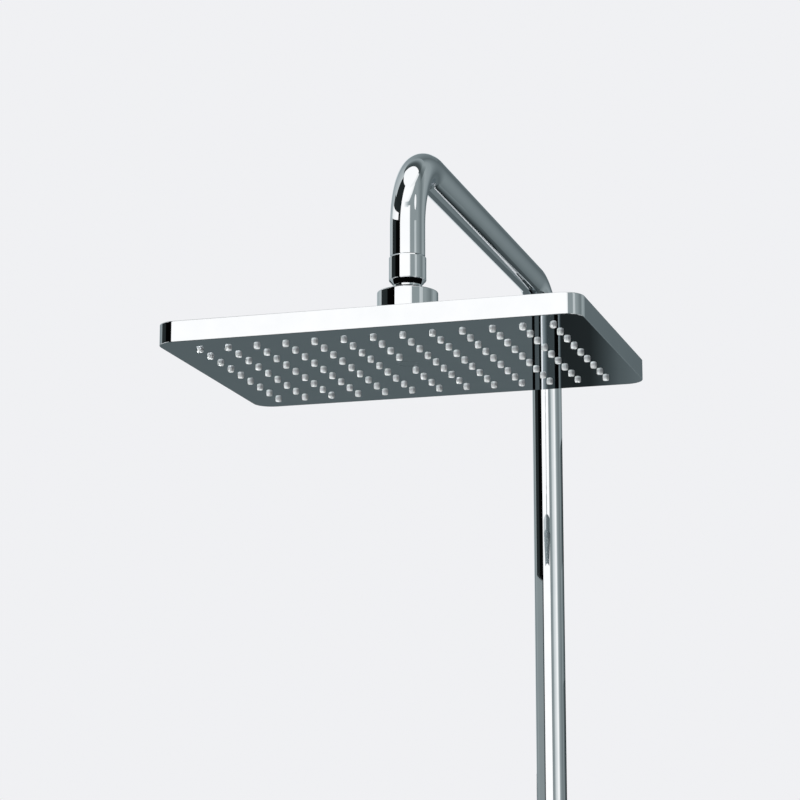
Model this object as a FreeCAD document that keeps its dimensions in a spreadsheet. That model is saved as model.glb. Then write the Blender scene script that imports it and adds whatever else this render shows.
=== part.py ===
import FreeCAD, Part
import math
import os
import re
import Sketcher
from FreeCAD import Placement, Rotation, Vector

# A wall-hung shower system in millimetres: a flat rain head on a ball joint, a bent tube that is
# arm and riser, a wall bracket and a thermostatic bar mixer. +Z is up, the wall is the plane y = 0,
# the object stands in front of it towards -Y, and the origin is midway between the two water inlets.

# Every size that can be set by itself, in millimetres, degrees or counts
SIZES = {
    # Whole object: from the wall, the water inlets and the head's underside
    "wall_gap": 65, "arm_reach": 371, "arm_height": 1000, "head_drop": 137, "bracket_height": 530,
    "tube_diameter": 22, "tube_wall": 1.5, "bend_radius": 50,
    # Clearance of a fit, gap between pieces that don't touch, and how far a cut runs past a face
    "fit": 0.05, "gap": 0.3, "overrun": 1,
    # Spray head and its grid of nozzles
    "head_width": 260, "head_depth": 189, "head_thickness": 13, "corner_radius": 12, "edge_round": 0.4,
    "face_thickness": 2, "shell_wall": 2.2, "shell_top": 2, "top_edge_round": 0.6,
    "columns": 13, "rows": 9, "side_margin": 21.1, "end_margin": 22.7,
    # Face plate's hub, cap and centre screw
    "nozzle_root": 2.2, "hole_clearance": 0.1, "cap_radius": 6.5, "cap_thickness": 1,
    "screw_pocket": 3.6, "hub_radius": 8.5, "hub_rise": 0.5, "pin_radius": 4.5,
    "centre_screw_radius": 3, "screw_hole_clearance": 0.2, "centre_head_radius": 5,
    "centre_head_thickness": 2.2, "centre_socket_radius": 2, "centre_socket_depth": 1.4,
    # Silicone mat
    "mat_thickness": 1.2, "mat_border": 8, "mat_corner": 5, "hub_gap": 1, "nozzle_tip": 1.85,
    "nozzle_length": 1.9, "nozzle_tip_round": 0.3, "water_entry": 1.2, "water_outlet": 0.5,
    "outlet_length": 1.5,
    # Mat's gasket, spray plate and plate screws
    "seal_width": 2.5, "spray_plate_thickness": 1.5, "screw_columns": 4, "screw_rows": 2,
    "columns_between_screws": 3, "rows_between_screws": 5, "pillar_radius": 3.6, "plate_screw_radius": 1.25,
    "plate_screw_head": 2.4, "screw_tip_gap": 0.8, "sunk_share": 0.5,
    # Head's collar, boss and retaining nut
    "collar_height": 9, "boss_seal_thickness": 1, "boss_flange_thickness": 2, "boss_flange_width": 5,
    "boss_wall": 2.55, "boss_floor": 6, "boss_drop": 4, "nut_wall": 2.95, "nut_edge_round": 0.8,
    "nut_relief": 0.1, "lip_angle": 61, "lip_height": 1, "lip_flare": 0.64,
    "port_count": 6, "port_radius": 1.8, "port_circle": 6.2,
    # Ball joint
    "ball_rise": 24.5, "ball_radius": 12, "ball_flat": 9, "ball_bore": 4.5, "seat_thickness": 1.35,
    "upper_seat_start": 70, "upper_seat_end": 88, "lower_seat_start": 130, "lower_seat_end": 146,
    "ring_pocket_inset": 0.45, "ring_pocket_depth": 1.87, "ring_section": 0.9, "chamber_radius": 8.6,
    # Ball stem with its limiter, washer and strainer
    "neck_radius": 7, "shoulder_radius": 8.75, "shoulder_rise": 3.1, "sleeve_wall": 1.12,
    "sleeve_length": 15.2, "sleeve_chamfer": 0.3, "arm_thread_radius": 10.48, "socket_rise": 0.9,
    "limiter_radius": 6.4, "limiter_thickness": 3, "limiter_hole": 1, "limiter_circle": 4,
    "limiter_count": 6, "stem_washer_bore": 5.5, "stem_washer_thickness": 2,
    "strainer_thickness": 0.6, "strainer_hole": 0.7, "strainer_rings": 3, "strainer_ring_step": 2.6,
    "strainer_count": 10,
    # Arm nipple, tube joiner and riser union
    "nipple_wall": 2.5, "nipple_spigot": 16, "joiner_length": 60, "joiner_wall": 1.15,
    "groove_depth": 1.85, "groove_width": 2.2, "groove_inset": 8, "groove_step": 9,
    "outlet_stub": 14, "outlet_bore": 8, "union_thread_radius": 13.2, "union_washer_bore": 7.6,
    "union_washer_thickness": 2, "collar_thickness": 2.5, "collar_spigot": 18,
    "union_hex_radius": 18, "union_nut_clearance": 2.5, "union_lip": 3.5, "hex_chamfer": 1.4,
    # Wall bracket
    "clamp_wall": 3.8, "clamp_height": 32, "clamp_round": 1.5, "liner_thickness": 1.1,
    "liner_inset": 1, "stem_wall": 2.95, "plate_edge": 3, "plate_thickness": 5, "peg_radius": 6,
    "peg_length": 18, "wall_screw_spacing": 24, "wall_screw_radius": 2.2, "wall_screw_head": 4,
    "wall_screw_sunk": 2, "wall_screw_reach": 38, "plug_radius": 3.9, "plug_end": 2,
    "rosette_margin": 8, "rosette_depth": 9, "rosette_wall": 1.5, "rosette_round": 1.2,
    "grub_radius": 2, "grub_sunk": 0.4, "grub_inset": 7, "grub_socket": 1.1, "grub_socket_depth": 1.2,
    # Mixer body and its inlets
    "bar_length": 196, "bar_radius": 22, "bar_edge": 1, "bar_wall": 5, "inlet_spacing": 150,
    "thermo_depth": 50, "flow_depth": 42, "passage_radius": 9, "spigot_wall": 3.45,
    "spigot_flange": 3, "valve_bore": 7.5, "valve_length": 13, "valve_throat": 4,
    "valve_throat_length": 3, "nipple_front": 19, "nipple_shoulder": 8,
    "nipple_shoulder_radius": 12.5, "wall_thread_length": 14, "inlet_bore": 6.5,
    "inlet_rosette_radius": 33, "inlet_rosette_depth": 9.5,
    # Cartridges, discs, spindles and shuttle
    "cartridge_gap": 1, "flange_clearance": 0.5, "cartridge_flange_thickness": 4, "neck_wall": 4.45,
    "neck_length": 10, "chamber_wall": 5, "chamber_roof": 8.2, "ring_inset": 6,
    "ring_inset_inner": 34, "cartridge_ring_depth": 1.85, "window_count": 4, "window_radius": 4.5,
    "flow_window_radius": 4, "disc_wall": 3.95, "disc_roof": 22, "fixed_disc_thickness": 4,
    "moving_disc_thickness": 3.5, "disc_port": 3.2, "disc_port_circle": 6.8, "driver_inset": 0.5,
    "driver_thickness": 4.4, "spindle_radius": 5, "spindle_reach": 36, "spindle_collar_radius": 8,
    "spindle_collar": 3.6, "spindle_nose": 3, "spindle_nose_length": 6, "spindle_hole_depth": 13,
    "shuttle_inset": 44, "shuttle_length": 30, "shuttle_bore_depth": 9, "shuttle_fit": 0.1,
    "shuttle_sleeve_radius": 6, "wax_length": 6, "wax_radius": 4, "piston_length": 10,
    # Stop ring, handles, their screws and caps, stop button and grip pin
    "stop_ring_wall": 3.45, "stop_ring_thickness": 3, "lug_height": 3, "stop_lug_width": 5,
    "handle_lip": 0.5, "handle_side": 2.5, "handle_gap": 0.5, "handle_length": 51.5,
    "handle_round": 2, "handle_wall": 8, "hub_wall": 3.45, "screw_radius": 2, "screw_seat_depth": 10,
    "screw_head_radius": 4.5, "screw_head_thickness": 4, "screw_reach": 12,
    "handle_cap_radius": 10, "handle_cap_depth": 1.8, "cap_edge_round": 0.4, "flute_count": 18,
    "flute_radius": 2.2, "flute_depth": 0.7, "flute_length": 26, "handle_screw_socket": 2,
    "handle_screw_socket_depth": 2.2, "button_inset": 14, "button_radius": 4,
    "button_flange_radius": 5.2, "button_inside": 2.4, "button_flange": 1.3, "button_proud": 1.6,
    "button_round": 0.5, "pin_inset": 19, "grip_radius": 3.2, "grip_length": 13.5, "grip_round": 1.2,
}

# Sizes that follow from others: what fits in, seats on or lines up with another piece
FOLLOWS = {
    # Tube and the ends of its stretches, from the head's underside or the water inlets
    "tube_radius": "tube_diameter / 2",
    "tube_bore": "tube_radius - tube_wall",
    "tube_start": "sleeve_top + gap",
    "tube_joint": "bracket_height - arm_height + head_drop",
    # Spray head, up from its underside
    "column_pitch": "(head_width - 2 * side_margin) / (columns - 1)",
    "row_pitch": "(head_depth - 2 * end_margin) / (rows - 1)",
    "first_column": "-column_pitch * (columns - 1) / 2",
    "first_row": "-row_pitch * (rows - 1) / 2",
    "ceiling": "head_thickness - shell_top",
    "mat_width": "column_pitch * (columns - 1) + 2 * mat_border",
    "mat_depth": "row_pitch * (rows - 1) + 2 * mat_border",
    "mat_top": "face_thickness + mat_thickness",
    "mat_hole": "hub_radius + hub_gap",
    "cavity_width": "head_width - 2 * shell_wall",
    "cavity_depth": "head_depth - 2 * shell_wall",
    "cavity_corner": "corner_radius - shell_wall",
    "spray_top": "mat_top + spray_plate_thickness",
    "hub_top": "spray_top + hub_rise",
    "screw_step_across": "column_pitch * columns_between_screws",
    "screw_step_back": "row_pitch * rows_between_screws",
    "first_screw_across": "-screw_step_across * (screw_columns - 1) / 2",
    "first_screw_back": "-screw_step_back * (screw_rows - 1) / 2",
    "screw_sunk": "mat_top + spray_plate_thickness * sunk_share",
    "plate_screw_tip": "ceiling - screw_tip_gap",
    "collar_top": "head_thickness + collar_height",
    # Ball joint: radii grow outwards from the ball, heights lie about its centre
    "ball_height": "head_thickness + ball_rise",
    "seat_bore": "ball_radius + fit",
    "seat_outside": "seat_bore + seat_thickness",
    "socket_radius": "seat_outside + fit",
    "boss_base": "ceiling - boss_seal_thickness - boss_flange_thickness",
    "boss_top": "ball_height - boss_drop",
    "boss_neck_radius": "socket_radius + boss_wall",
    "boss_flange_radius": "boss_neck_radius + boss_flange_width",
    "ring_floor": "boss_top - ring_pocket_depth",
    "ring_pocket_radius": "socket_radius - ring_pocket_inset",
    "nut_radius": "boss_neck_radius + fit + nut_wall",
    "nut_top": "ball_height + socket_radius * cos(lip_angle) + lip_height",
    "lip_radius": "socket_radius * sin(lip_angle) + lip_flare",
    # Ball stem, up from the ball's top
    "shoulder_height": "ball_height + ball_radius",
    "sleeve_bottom": "shoulder_height + shoulder_rise",
    "sleeve_top": "sleeve_bottom + sleeve_length",
    "sleeve_radius": "arm_thread_radius + fit + sleeve_wall",
    "socket_floor": "sleeve_bottom + socket_rise",
    "limiter_floor": "socket_floor - limiter_thickness",
    "strainer_floor": "socket_floor + stem_washer_thickness",
    "nipple_floor": "strainer_floor + strainer_thickness",
    "nipple_bore": "tube_bore - nipple_wall",
    # Riser union, up from the mixer's axis
    "joiner_bore": "tube_bore - groove_depth - joiner_wall",
    "outlet_height": "bar_radius + outlet_stub",
    "collar_floor": "outlet_height + union_washer_thickness",
    "riser_foot": "collar_floor + collar_thickness",
    "union_flange": "union_thread_radius - gap",
    "union_nut_start": "bar_radius + union_nut_clearance",
    # Wall bracket
    "liner_outside": "tube_radius + fit + liner_thickness",
    "liner_height": "clamp_height - 2 * liner_inset",
    "clamp_radius": "liner_outside + fit + clamp_wall",
    "stem_radius": "peg_radius + fit + stem_wall",
    "stem_start": "plate_thickness + gap",
    "plate_radius": "wall_screw_spacing / 2 + wall_screw_head + plate_edge",
    "rosette_radius": "plate_radius + rosette_margin",
    "plug_length": "wall_screw_reach + plug_end",
    "grub_from_wall": "plate_thickness + peg_length - grub_inset",
    "grub_length": "stem_radius - peg_radius - grub_sunk",
    # Mixer body and inlets, out from the wall
    "bar_end": "bar_length / 2",
    "cartridge_bore": "bar_radius - bar_wall",
    "inlet_offset": "inlet_spacing / 2",
    "inlet_nut_start": "inlet_rosette_depth + gap",
    "spigot_front": "nipple_front + union_washer_thickness",
    "spigot_radius": "valve_bore + fit + spigot_wall",
    # Cartridges, along the bar from the mixer's middle
    "flange_end": "bar_end + cartridge_flange_thickness",
    "neck_end": "flange_end + neck_length",
    "neck_outside": "spindle_radius + fit + neck_wall",
    "cartridge_flange": "handle_bore - flange_clearance",
    "chamber_bore": "cartridge_bore - chamber_wall",
    "chamber_end": "bar_end - chamber_roof",
    "disc_chamber_bore": "cartridge_bore - disc_wall",
    "disc_radius": "disc_chamber_bore - fit",
    "disc_chamber_end": "bar_end - disc_roof",
    "disc_start": "bar_end - flow_depth + cartridge_gap",
    "disc_face": "disc_start + fixed_disc_thickness + fit",
    "driver_start": "disc_face + moving_disc_thickness + fit",
    "driver_radius": "disc_radius - driver_inset",
    "spindle_end": "bar_end + spindle_reach",
    "shuttle_start": "bar_end - shuttle_inset",
    "shuttle_end": "shuttle_start + shuttle_length",
    # Stop ring and handles, along the bar from the mixer's middle
    "stop_ring_radius": "neck_outside + fit + stop_ring_wall",
    "stop_lug_radius": "stop_ring_radius + lug_height",
    "handle_radius": "bar_radius + handle_lip",
    "handle_bore": "handle_radius - handle_side",
    "handle_end": "bar_end + handle_gap + handle_length",
    "hub_outside": "spindle_radius + fit + hub_wall",
    "screw_seat": "handle_end - screw_seat_depth",
    "cap_floor": "handle_end - handle_cap_depth",
    "button_place": "bar_end + button_inset",
    "button_low": "handle_bore - button_inside",
    "pin_place": "bar_end + pin_inset",
    "grip_top": "handle_radius + grip_length",
}

doc = FreeCAD.newDocument("ShowerSystem")
sheet = doc.addObject("Spreadsheet::Sheet", "Sizes")
for row, (name, value) in enumerate(SIZES.items(), 1):
    sheet.set(f"A{row}", name)
    sheet.set(f"B{row}", str(value))
    sheet.setAlias(f"B{row}", name)
sheet.recompute()
pieces = []

UPRIGHT = Rotation()
OUT_OF_WALL = Rotation(Vector(1, 0, 0), 90)
TO_RIGHT = Rotation(Vector(0, 1, 0), 90)
TO_LEFT = Rotation(Vector(0, 1, 0), -90)

# Places: where the head, the riser, the bracket and the mixer lie
HEAD = ("0", "-(wall_gap + arm_reach)", "arm_height - head_drop")
RISER = ("0", "-wall_gap", "0")
BRACKET = ("0", "-wall_gap", "bracket_height")
WALL_AT_BRACKET = ("0", "0", "bracket_height")
WALL_AT_INLETS = ("0", "0", "0")
MIXER = RISER


# Tools that tie sketches and features to the sheet

def bound(text):
    """Turn a formula in named sizes into an expression that any object can hold."""
    def spelled(word):
        name = word[0]
        if name in FOLLOWS:
            return f"({bound(FOLLOWS[name])})"
        return f"Sizes.{name}" if name in SIZES else name
    return re.sub(r"[a-z]\w+", spelled, text)


def number(text):
    """Give a formula's present value."""
    return float(sheet.evalExpression(bound(text)))


def new_piece(label, place, turn=UPRIGHT):
    """Start a piece: a body whose place follows the sheet."""
    piece = doc.addObject("PartDesign::Body", label)
    piece.Label = label
    piece.Placement = Placement(Vector(), turn)
    for axis, text in zip("xyz", place):
        if text != "0":
            piece.setExpression(f"Placement.Base.{axis}", bound(text))
    pieces.append(piece)
    return piece


def datum(piece, role):
    """Find one of the piece's own planes or axes."""
    return next(feature for feature in piece.Origin.OriginFeatures if feature.Role == role)


def ties(geometry, point, across, up):
    """List the constraints that hold a point, each with the formula that drives it."""
    found = []
    for kind, axis, text in (("DistanceX", -2, across), ("DistanceY", -1, up)):
        if text == "0":
            found.append((Sketcher.Constraint("PointOnObject", geometry, point, axis), None))
        else:
            found.append((Sketcher.Constraint(kind, -1, 1, geometry, point, number(text)), text))
    return found


def hold(sketch, found):
    """Add constraints and bind each one that has a formula."""
    marks = sketch.addConstraint([constraint for constraint, text in found])
    for mark, (constraint, text) in zip(marks, found):
        if text:
            sketch.setExpression(f"Constraints[{mark}]", bound(text))


def side_of(here, there):
    """Give the sign of the step from one coordinate to another."""
    return (there > here) - (there < here)


def stepped(text, sign, length):
    """Give a coordinate moved by a signed length."""
    if sign == 0:
        return text
    return f"{text} {'+' if sign > 0 else '-'} ({length})"


def expand(outline):
    """Replace each corner marked round by the two ends of its arc."""
    corners = []
    for index, corner in enumerate(outline):
        if len(corner) == 2 or corner[2] != "round":
            corners.append(corner)
            continue
        across, up, mark, radius = corner
        before, after = outline[index - 1], outline[(index + 1) % len(outline)]
        back = [side_of(number(corner[axis]), number(before[axis])) for axis in (0, 1)]
        on = [side_of(number(corner[axis]), number(after[axis])) for axis in (0, 1)]
        turn = "right" if back[0] * on[1] - back[1] * on[0] > 0 else "left"
        corners.append((stepped(across, back[0], radius), stepped(up, back[1], radius), turn, radius))
        corners.append((stepped(across, on[0], radius), stepped(up, on[1], radius)))
    return corners


def draw(sketch, outline, closed=True):
    """Draw lines and arcs through an outline's corners and tie every corner to the sheet.

    A corner is (across, up). With a third and fourth entry it is rounded ("round", radius), or the
    stretch that leaves it is an arc that bends "left" or "right" with that radius.
    """
    corners = expand(outline)
    spans = len(corners) if closed else len(corners) - 1
    first = sketch.GeometryCount
    points = [Vector(number(corner[0]), number(corner[1])) for corner in corners]
    shapes = []
    starts = []
    found = []
    for index in range(spans):
        start, end = points[index], points[(index + 1) % len(points)]
        if len(corners[index]) == 2:
            shapes.append(Part.LineSegment(start, end))
            starts.append(1)
            continue
        left = corners[index][2] == "left"
        radius = number(corners[index][3])
        half = (end - start) / 2
        rise = math.sqrt(radius ** 2 - half.Length ** 2)
        centre = start + half + Vector(-half.y, half.x).normalize() * (rise if left else -rise)
        low, high = (start, end) if left else (end, start)
        begin = math.atan2(low.y - centre.y, low.x - centre.x)
        finish = math.atan2(high.y - centre.y, high.x - centre.x)
        if finish < begin:
            finish += 2 * math.pi
        circle = Part.Circle(centre, Vector(0, 0, 1), radius)
        shapes.append(Part.ArcOfCircle(circle, begin, finish))
        starts.append(1 if left else 2)
        found.append((Sketcher.Constraint("Radius", first + index, radius), corners[index][3]))
    sketch.addGeometry(shapes, False)
    for index in range(spans):
        if closed or index > 0:
            before = index - 1 if index > 0 else spans - 1
            found.append((Sketcher.Constraint("Coincident", first + before, 3 - starts[before],
                                              first + index, starts[index]), None))
        found.extend(ties(first + index, starts[index], corners[index][0], corners[index][1]))
    if not closed:
        found.extend(ties(first + spans - 1, 3 - starts[-1], corners[-1][0], corners[-1][1]))
    hold(sketch, found)


def draw_circle(sketch, across, up, radius):
    """Draw a circle whose centre and radius follow the sheet."""
    middle = Vector(number(across), number(up))
    mark = sketch.addGeometry(Part.Circle(middle, Vector(0, 0, 1), number(radius)), False)
    found = [(Sketcher.Constraint("Radius", mark, number(radius)), radius)]
    hold(sketch, found + ties(mark, 3, across, up))


def new_sketch(piece, role, shapes, offset="0", closed=True):
    """Sketch outlines and circles on one of the piece's planes, or at an offset along its normal."""
    sketch = piece.newObject("Sketcher::SketchObject", f"{piece.Label}_sketch")
    sketch.AttachmentSupport = [(datum(piece, role), "")]
    sketch.MapMode = "FlatFace"
    if offset != "0":
        sketch.setExpression("AttachmentOffset.Base.z", bound(offset))
    for shape in shapes:
        if shape[0] == "circle":
            draw_circle(sketch, *shape[1:])
        else:
            draw(sketch, shape, closed)
    return sketch


def new_feature(piece, kind, profile):
    """Add a feature that uses a sketch and make it the piece's result."""
    feature = piece.newObject(f"PartDesign::{kind}", f"{piece.Label}_{kind.lower()}")
    feature.Profile = profile
    piece.Tip = feature
    return feature


def extrude(piece, role, shapes, low, high, cut=False):
    """Pad or cut outlines between two heights along a plane's normal."""
    sketch = new_sketch(piece, role, shapes, low)
    feature = new_feature(piece, "Pocket" if cut else "Pad", sketch)
    feature.Reversed = cut
    feature.setExpression("Length", bound(f"({high}) - ({low})"))
    return feature


def turned(piece, shapes, cut=False, about="0", role="XZ_Plane", lying=False, offset="0"):
    """Turn outlines of (radius, height) about an upright line, or of (along, radius) about a lying one."""
    if about == "0":
        moved = shapes
    else:
        moved = [[(f"{about} + {corner[0]}",) + tuple(corner[1:]) for corner in shape] for shape in shapes]
    sketch = new_sketch(piece, role, moved, offset)
    axis = "H_Axis" if lying else "V_Axis"
    if about != "0":
        middle = Vector(number(about), 0)
        line = Part.LineSegment(middle, middle + Vector(0, number("overrun")))
        mark = sketch.addGeometry(line, True)
        hold(sketch, ties(mark, 1, about, "0") + ties(mark, 2, about, "overrun"))
        axis = "Axis0"
    feature = new_feature(piece, "Groove" if cut else "Revolution", sketch)
    feature.ReferenceAxis = (sketch, [axis])
    feature.Angle = 360
    return feature


def repeated(piece, features, kind):
    """Start a pattern of some features and make it the piece's result."""
    pattern = piece.newObject(f"PartDesign::{kind}", f"{piece.Label}_{kind.lower()}")
    pattern.Originals = features
    piece.Tip = pattern
    return pattern


def in_grid(piece, features, columns, column_step, rows, row_step):
    """Repeat features in columns along X and rows along Y."""
    pattern = repeated(piece, features, "LinearPattern")
    pattern.Direction = (datum(piece, "X_Axis"), [""])
    pattern.Direction2 = (datum(piece, "Y_Axis"), [""])
    pattern.setExpression("Occurrences", bound(columns))
    pattern.setExpression("Occurrences2", bound(rows))
    pattern.setExpression("Length", bound(f"({column_step}) * ({columns} - 1)"))
    pattern.setExpression("Length2", bound(f"({row_step}) * ({rows} - 1)"))


def in_ring(piece, features, count):
    """Repeat features evenly about the piece's own Z axis."""
    pattern = repeated(piece, features, "PolarPattern")
    pattern.Axis = (datum(piece, "Z_Axis"), [""])
    pattern.Angle = 360
    pattern.setExpression("Occurrences", bound(count))


def mirrored(piece, features, role="YZ_Plane"):
    """Repeat features on the other side of one of the piece's planes."""
    pattern = repeated(piece, features, "Mirrored")
    pattern.MirrorPlane = (datum(piece, role), [""])


def rounded(piece, radius, chosen):
    """Round the edges of the piece that a test picks out."""
    doc.recompute()
    base = piece.Tip
    edges = [f"Edge{place}" for place, edge in enumerate(base.Shape.Edges, 1) if chosen(edge)]
    fillet = piece.newObject("PartDesign::Fillet", f"{piece.Label}_fillet")
    fillet.Base = (base, edges)
    fillet.setExpression("Radius", bound(radius))
    piece.Tip = fillet


def lies_at(height):
    """Make a test for edges that lie at one height of the piece's own frame."""
    level = number(height)
    near = number("fit") / 2
    return lambda edge: all(abs(value - level) < near for value in (edge.BoundBox.ZMin, edge.BoundBox.ZMax))


def rectangle(width, depth, radius):
    """Outline a centred rectangle with round corners."""
    right, back = f"({width}) / 2", f"({depth}) / 2"
    left, front = f"-({width}) / 2", f"-({depth}) / 2"
    return [(left, front, "round", radius), (right, front, "round", radius),
            (right, back, "round", radius), (left, back, "round", radius)]


def ring(inner, outer, low, high):
    """Outline half the section of a plain ring."""
    return [(inner, low), (outer, low), (outer, high), (inner, high)]


def disc(outer, low, high):
    """Outline half the section of a plain disc."""
    return ring("0", outer, low, high)


def hexagon(radius):
    """Outline a hexagon by the radius of its corners."""
    high, low = f"({radius}) * sqrt(3) / 2", f"-({radius}) * sqrt(3) / 2"
    return [(radius, "0"), (f"({radius}) / 2", high), (f"-({radius}) / 2", high),
            (f"-({radius})", "0"), (f"-({radius}) / 2", low), (f"({radius}) / 2", low)]


# Spray head: heights are measured up from the underside, radii from the ball joint's axis


# Face plate with a hole for every nozzle and a hub that the centre screw draws up


def make_face_plate():
    piece = new_piece("face_plate", HEAD)
    extrude(piece, "XY_Plane", [rectangle("head_width", "head_depth", "corner_radius")],
            "0", "face_thickness")
    rounded(piece, "edge_round", lies_at("0"))
    turned(piece, [[("0", "face_thickness / 2"), ("hub_radius", "face_thickness / 2"),
                    ("hub_radius", "hub_top"), ("pin_radius", "hub_top"),
                    ("pin_radius", "boss_base"), ("0", "boss_base")]])
    screw_hole = "centre_screw_radius + screw_hole_clearance"
    turned(piece, [[("0", "-overrun"), ("cap_radius", "-overrun"), ("cap_radius", "screw_pocket"),
                    (screw_hole, "screw_pocket"), (screw_hole, "boss_base + overrun"),
                    ("0", "boss_base + overrun")]], cut=True)
    hole = extrude(piece, "XY_Plane",
                   [("circle", "first_column", "first_row", "nozzle_root + hole_clearance")],
                   "-overrun", "face_thickness + overrun", cut=True)
    in_grid(piece, [hole], "columns", "column_pitch", "rows", "row_pitch")


def make_centre_cap():
    piece = new_piece("centre_cap", HEAD)
    turned(piece, [[("0", "0"), ("cap_radius - fit", "0", "round", "edge_round"),
                    ("cap_radius - fit", "cap_thickness"), ("0", "cap_thickness")]])


def make_centre_screw():
    piece = new_piece("centre_screw", HEAD)
    tip = "boss_base + boss_floor - gap"
    head = "screw_pocket - centre_head_thickness"
    turned(piece, [[("0", head), ("centre_head_radius", head), ("centre_head_radius", "screw_pocket"),
                    ("centre_screw_radius", "screw_pocket"), ("centre_screw_radius", tip), ("0", tip)]])
    extrude(piece, "XY_Plane", [hexagon("centre_socket_radius")], f"{head} - overrun",
            f"{head} + centre_socket_depth", cut=True)


# Silicone mat: one moulding with a nozzle through every hole of the face plate but the middle one


def make_nozzle_mat():
    piece = new_piece("nozzle_mat", HEAD)
    extrude(piece, "XY_Plane", [rectangle("mat_width", "mat_depth", "mat_corner")],
            "face_thickness", "mat_top")
    nozzle = turned(piece, [[("0", "-nozzle_length"), ("nozzle_tip - nozzle_tip_round", "-nozzle_length"),
                             ("nozzle_tip", "nozzle_tip_round - nozzle_length"),
                             ("nozzle_root", "face_thickness"), ("nozzle_root", "mat_top"),
                             ("0", "mat_top")]],
                    about="first_column", offset="-first_row")
    top = "mat_top + overrun"
    bottom = "-nozzle_length - overrun"
    bore = turned(piece, [[("0", bottom), ("water_outlet", bottom),
                           ("water_outlet", "outlet_length - nozzle_length"),
                           ("water_entry", "mat_top"), ("water_entry", top), ("0", top)]],
                  cut=True, about="first_column", offset="-first_row")
    in_grid(piece, [nozzle, bore], "columns", "column_pitch", "rows", "row_pitch")
    extrude(piece, "XY_Plane", [("circle", "0", "0", "mat_hole")], bottom, top, cut=True)


# Gasket round the mat, and the plate that clamps both down and hangs from the shell by screws


def in_screw_grid(piece, features):
    """Repeat features at every plate screw."""
    in_grid(piece, features, "screw_columns", "screw_step_across", "screw_rows", "screw_step_back")


def at_first_screw(radius):
    """Give a circle about the first plate screw."""
    return [("circle", "first_screw_across", "first_screw_back", radius)]


def make_mat_seal():
    piece = new_piece("mat_seal", HEAD)
    outer = rectangle("cavity_width - 2 * fit", "cavity_depth - 2 * fit", "cavity_corner - fit")
    inner = rectangle("cavity_width - 2 * fit - 2 * seal_width",
                      "cavity_depth - 2 * fit - 2 * seal_width",
                      "cavity_corner - fit - seal_width")
    extrude(piece, "XY_Plane", [outer, inner], "face_thickness", "mat_top")


def make_spray_plate():
    piece = new_piece("spray_plate", HEAD)
    outline = rectangle("cavity_width - 2 * gap", "cavity_depth - 2 * gap", "cavity_corner - gap")
    extrude(piece, "XY_Plane", [outline], "mat_top", "spray_top")
    low = "mat_top - overrun"
    high = "spray_top + overrun"
    hole = extrude(piece, "XY_Plane", [("circle", "first_column", "first_row", "water_entry")],
                   low, high, cut=True)
    in_grid(piece, [hole], "columns", "column_pitch", "rows", "row_pitch")
    extrude(piece, "XY_Plane", [("circle", "0", "0", "mat_hole")], low, high, cut=True)
    shank = extrude(piece, "XY_Plane", at_first_screw("plate_screw_radius + fit"), low, high, cut=True)
    head = extrude(piece, "XY_Plane", at_first_screw("plate_screw_head + fit"), low,
                   "screw_sunk", cut=True)
    in_screw_grid(piece, [shank, head])


def make_plate_screws():
    piece = new_piece("plate_screws", HEAD)
    seat = "screw_sunk"
    tip = "plate_screw_tip"
    screw = turned(piece, [[("0", "mat_top + fit"), ("plate_screw_head", "mat_top + fit"),
                            ("plate_screw_head", seat), ("plate_screw_radius", seat),
                            ("plate_screw_radius", tip), ("0", tip)]],
                   about="first_screw_across", offset="-first_screw_back")
    in_screw_grid(piece, [screw])


# Shell: the head's top and sides, with pillars for the plate screws and a collar for the nut


def make_head_shell():
    piece = new_piece("head_shell", HEAD)
    extrude(piece, "XY_Plane", [rectangle("head_width", "head_depth", "corner_radius")],
            "face_thickness", "head_thickness")
    rounded(piece, "top_edge_round", lies_at("head_thickness"))
    extrude(piece, "XY_Plane", [rectangle("cavity_width", "cavity_depth", "cavity_corner")],
            "face_thickness - overrun", "ceiling", cut=True)
    pillar = extrude(piece, "XY_Plane", at_first_screw("pillar_radius"), "spray_top",
                     "head_thickness - shell_top / 2")
    hole = extrude(piece, "XY_Plane", at_first_screw("plate_screw_radius + fit"), "spray_top - overrun",
                   "plate_screw_tip + gap", cut=True)
    in_screw_grid(piece, [pillar, hole])
    turned(piece, [disc("nut_radius", "head_thickness - shell_top / 2", "collar_top")])
    extrude(piece, "XY_Plane", [("circle", "0", "0", "boss_neck_radius + fit")],
            "ceiling - overrun", "collar_top + overrun", cut=True)


# Ball joint: everything that slides is part of a sphere about the ball's centre


def on_sphere(radius, angle):
    """Give the corner of a section at an angle down from the top of a sphere about the ball's centre."""
    return f"{radius} * sin({angle})", f"ball_height + {radius} * cos({angle})"


# Boss that carries the ball joint: it hangs in the shell by a flange and a washer


def make_inlet_boss():
    piece = new_piece("inlet_boss", HEAD)
    flange_top = "boss_base + boss_flange_thickness"
    floor = "boss_base + boss_floor"
    socket_edge = "sqrt(socket_radius ^ 2 - (boss_drop + ring_pocket_depth) ^ 2)"
    socket_end = "ball_height - sqrt(socket_radius ^ 2 - chamber_radius ^ 2)"
    hole = "centre_screw_radius + fit"
    turned(piece, [[(hole, "boss_base"), ("boss_flange_radius", "boss_base"),
                    ("boss_flange_radius", flange_top), ("boss_neck_radius", flange_top),
                    ("boss_neck_radius", "boss_top"),
                    ("ring_pocket_radius", "boss_top"), ("ring_pocket_radius", "ring_floor"),
                    (socket_edge, "ring_floor", "right", "socket_radius"), ("chamber_radius", socket_end),
                    ("chamber_radius", floor), (hole, floor)]])
    port = extrude(piece, "XY_Plane", [("circle", "port_circle", "0", "port_radius")],
                   "boss_base - overrun", f"{floor} + overrun", cut=True)
    in_ring(piece, [port], "port_count")


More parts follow.
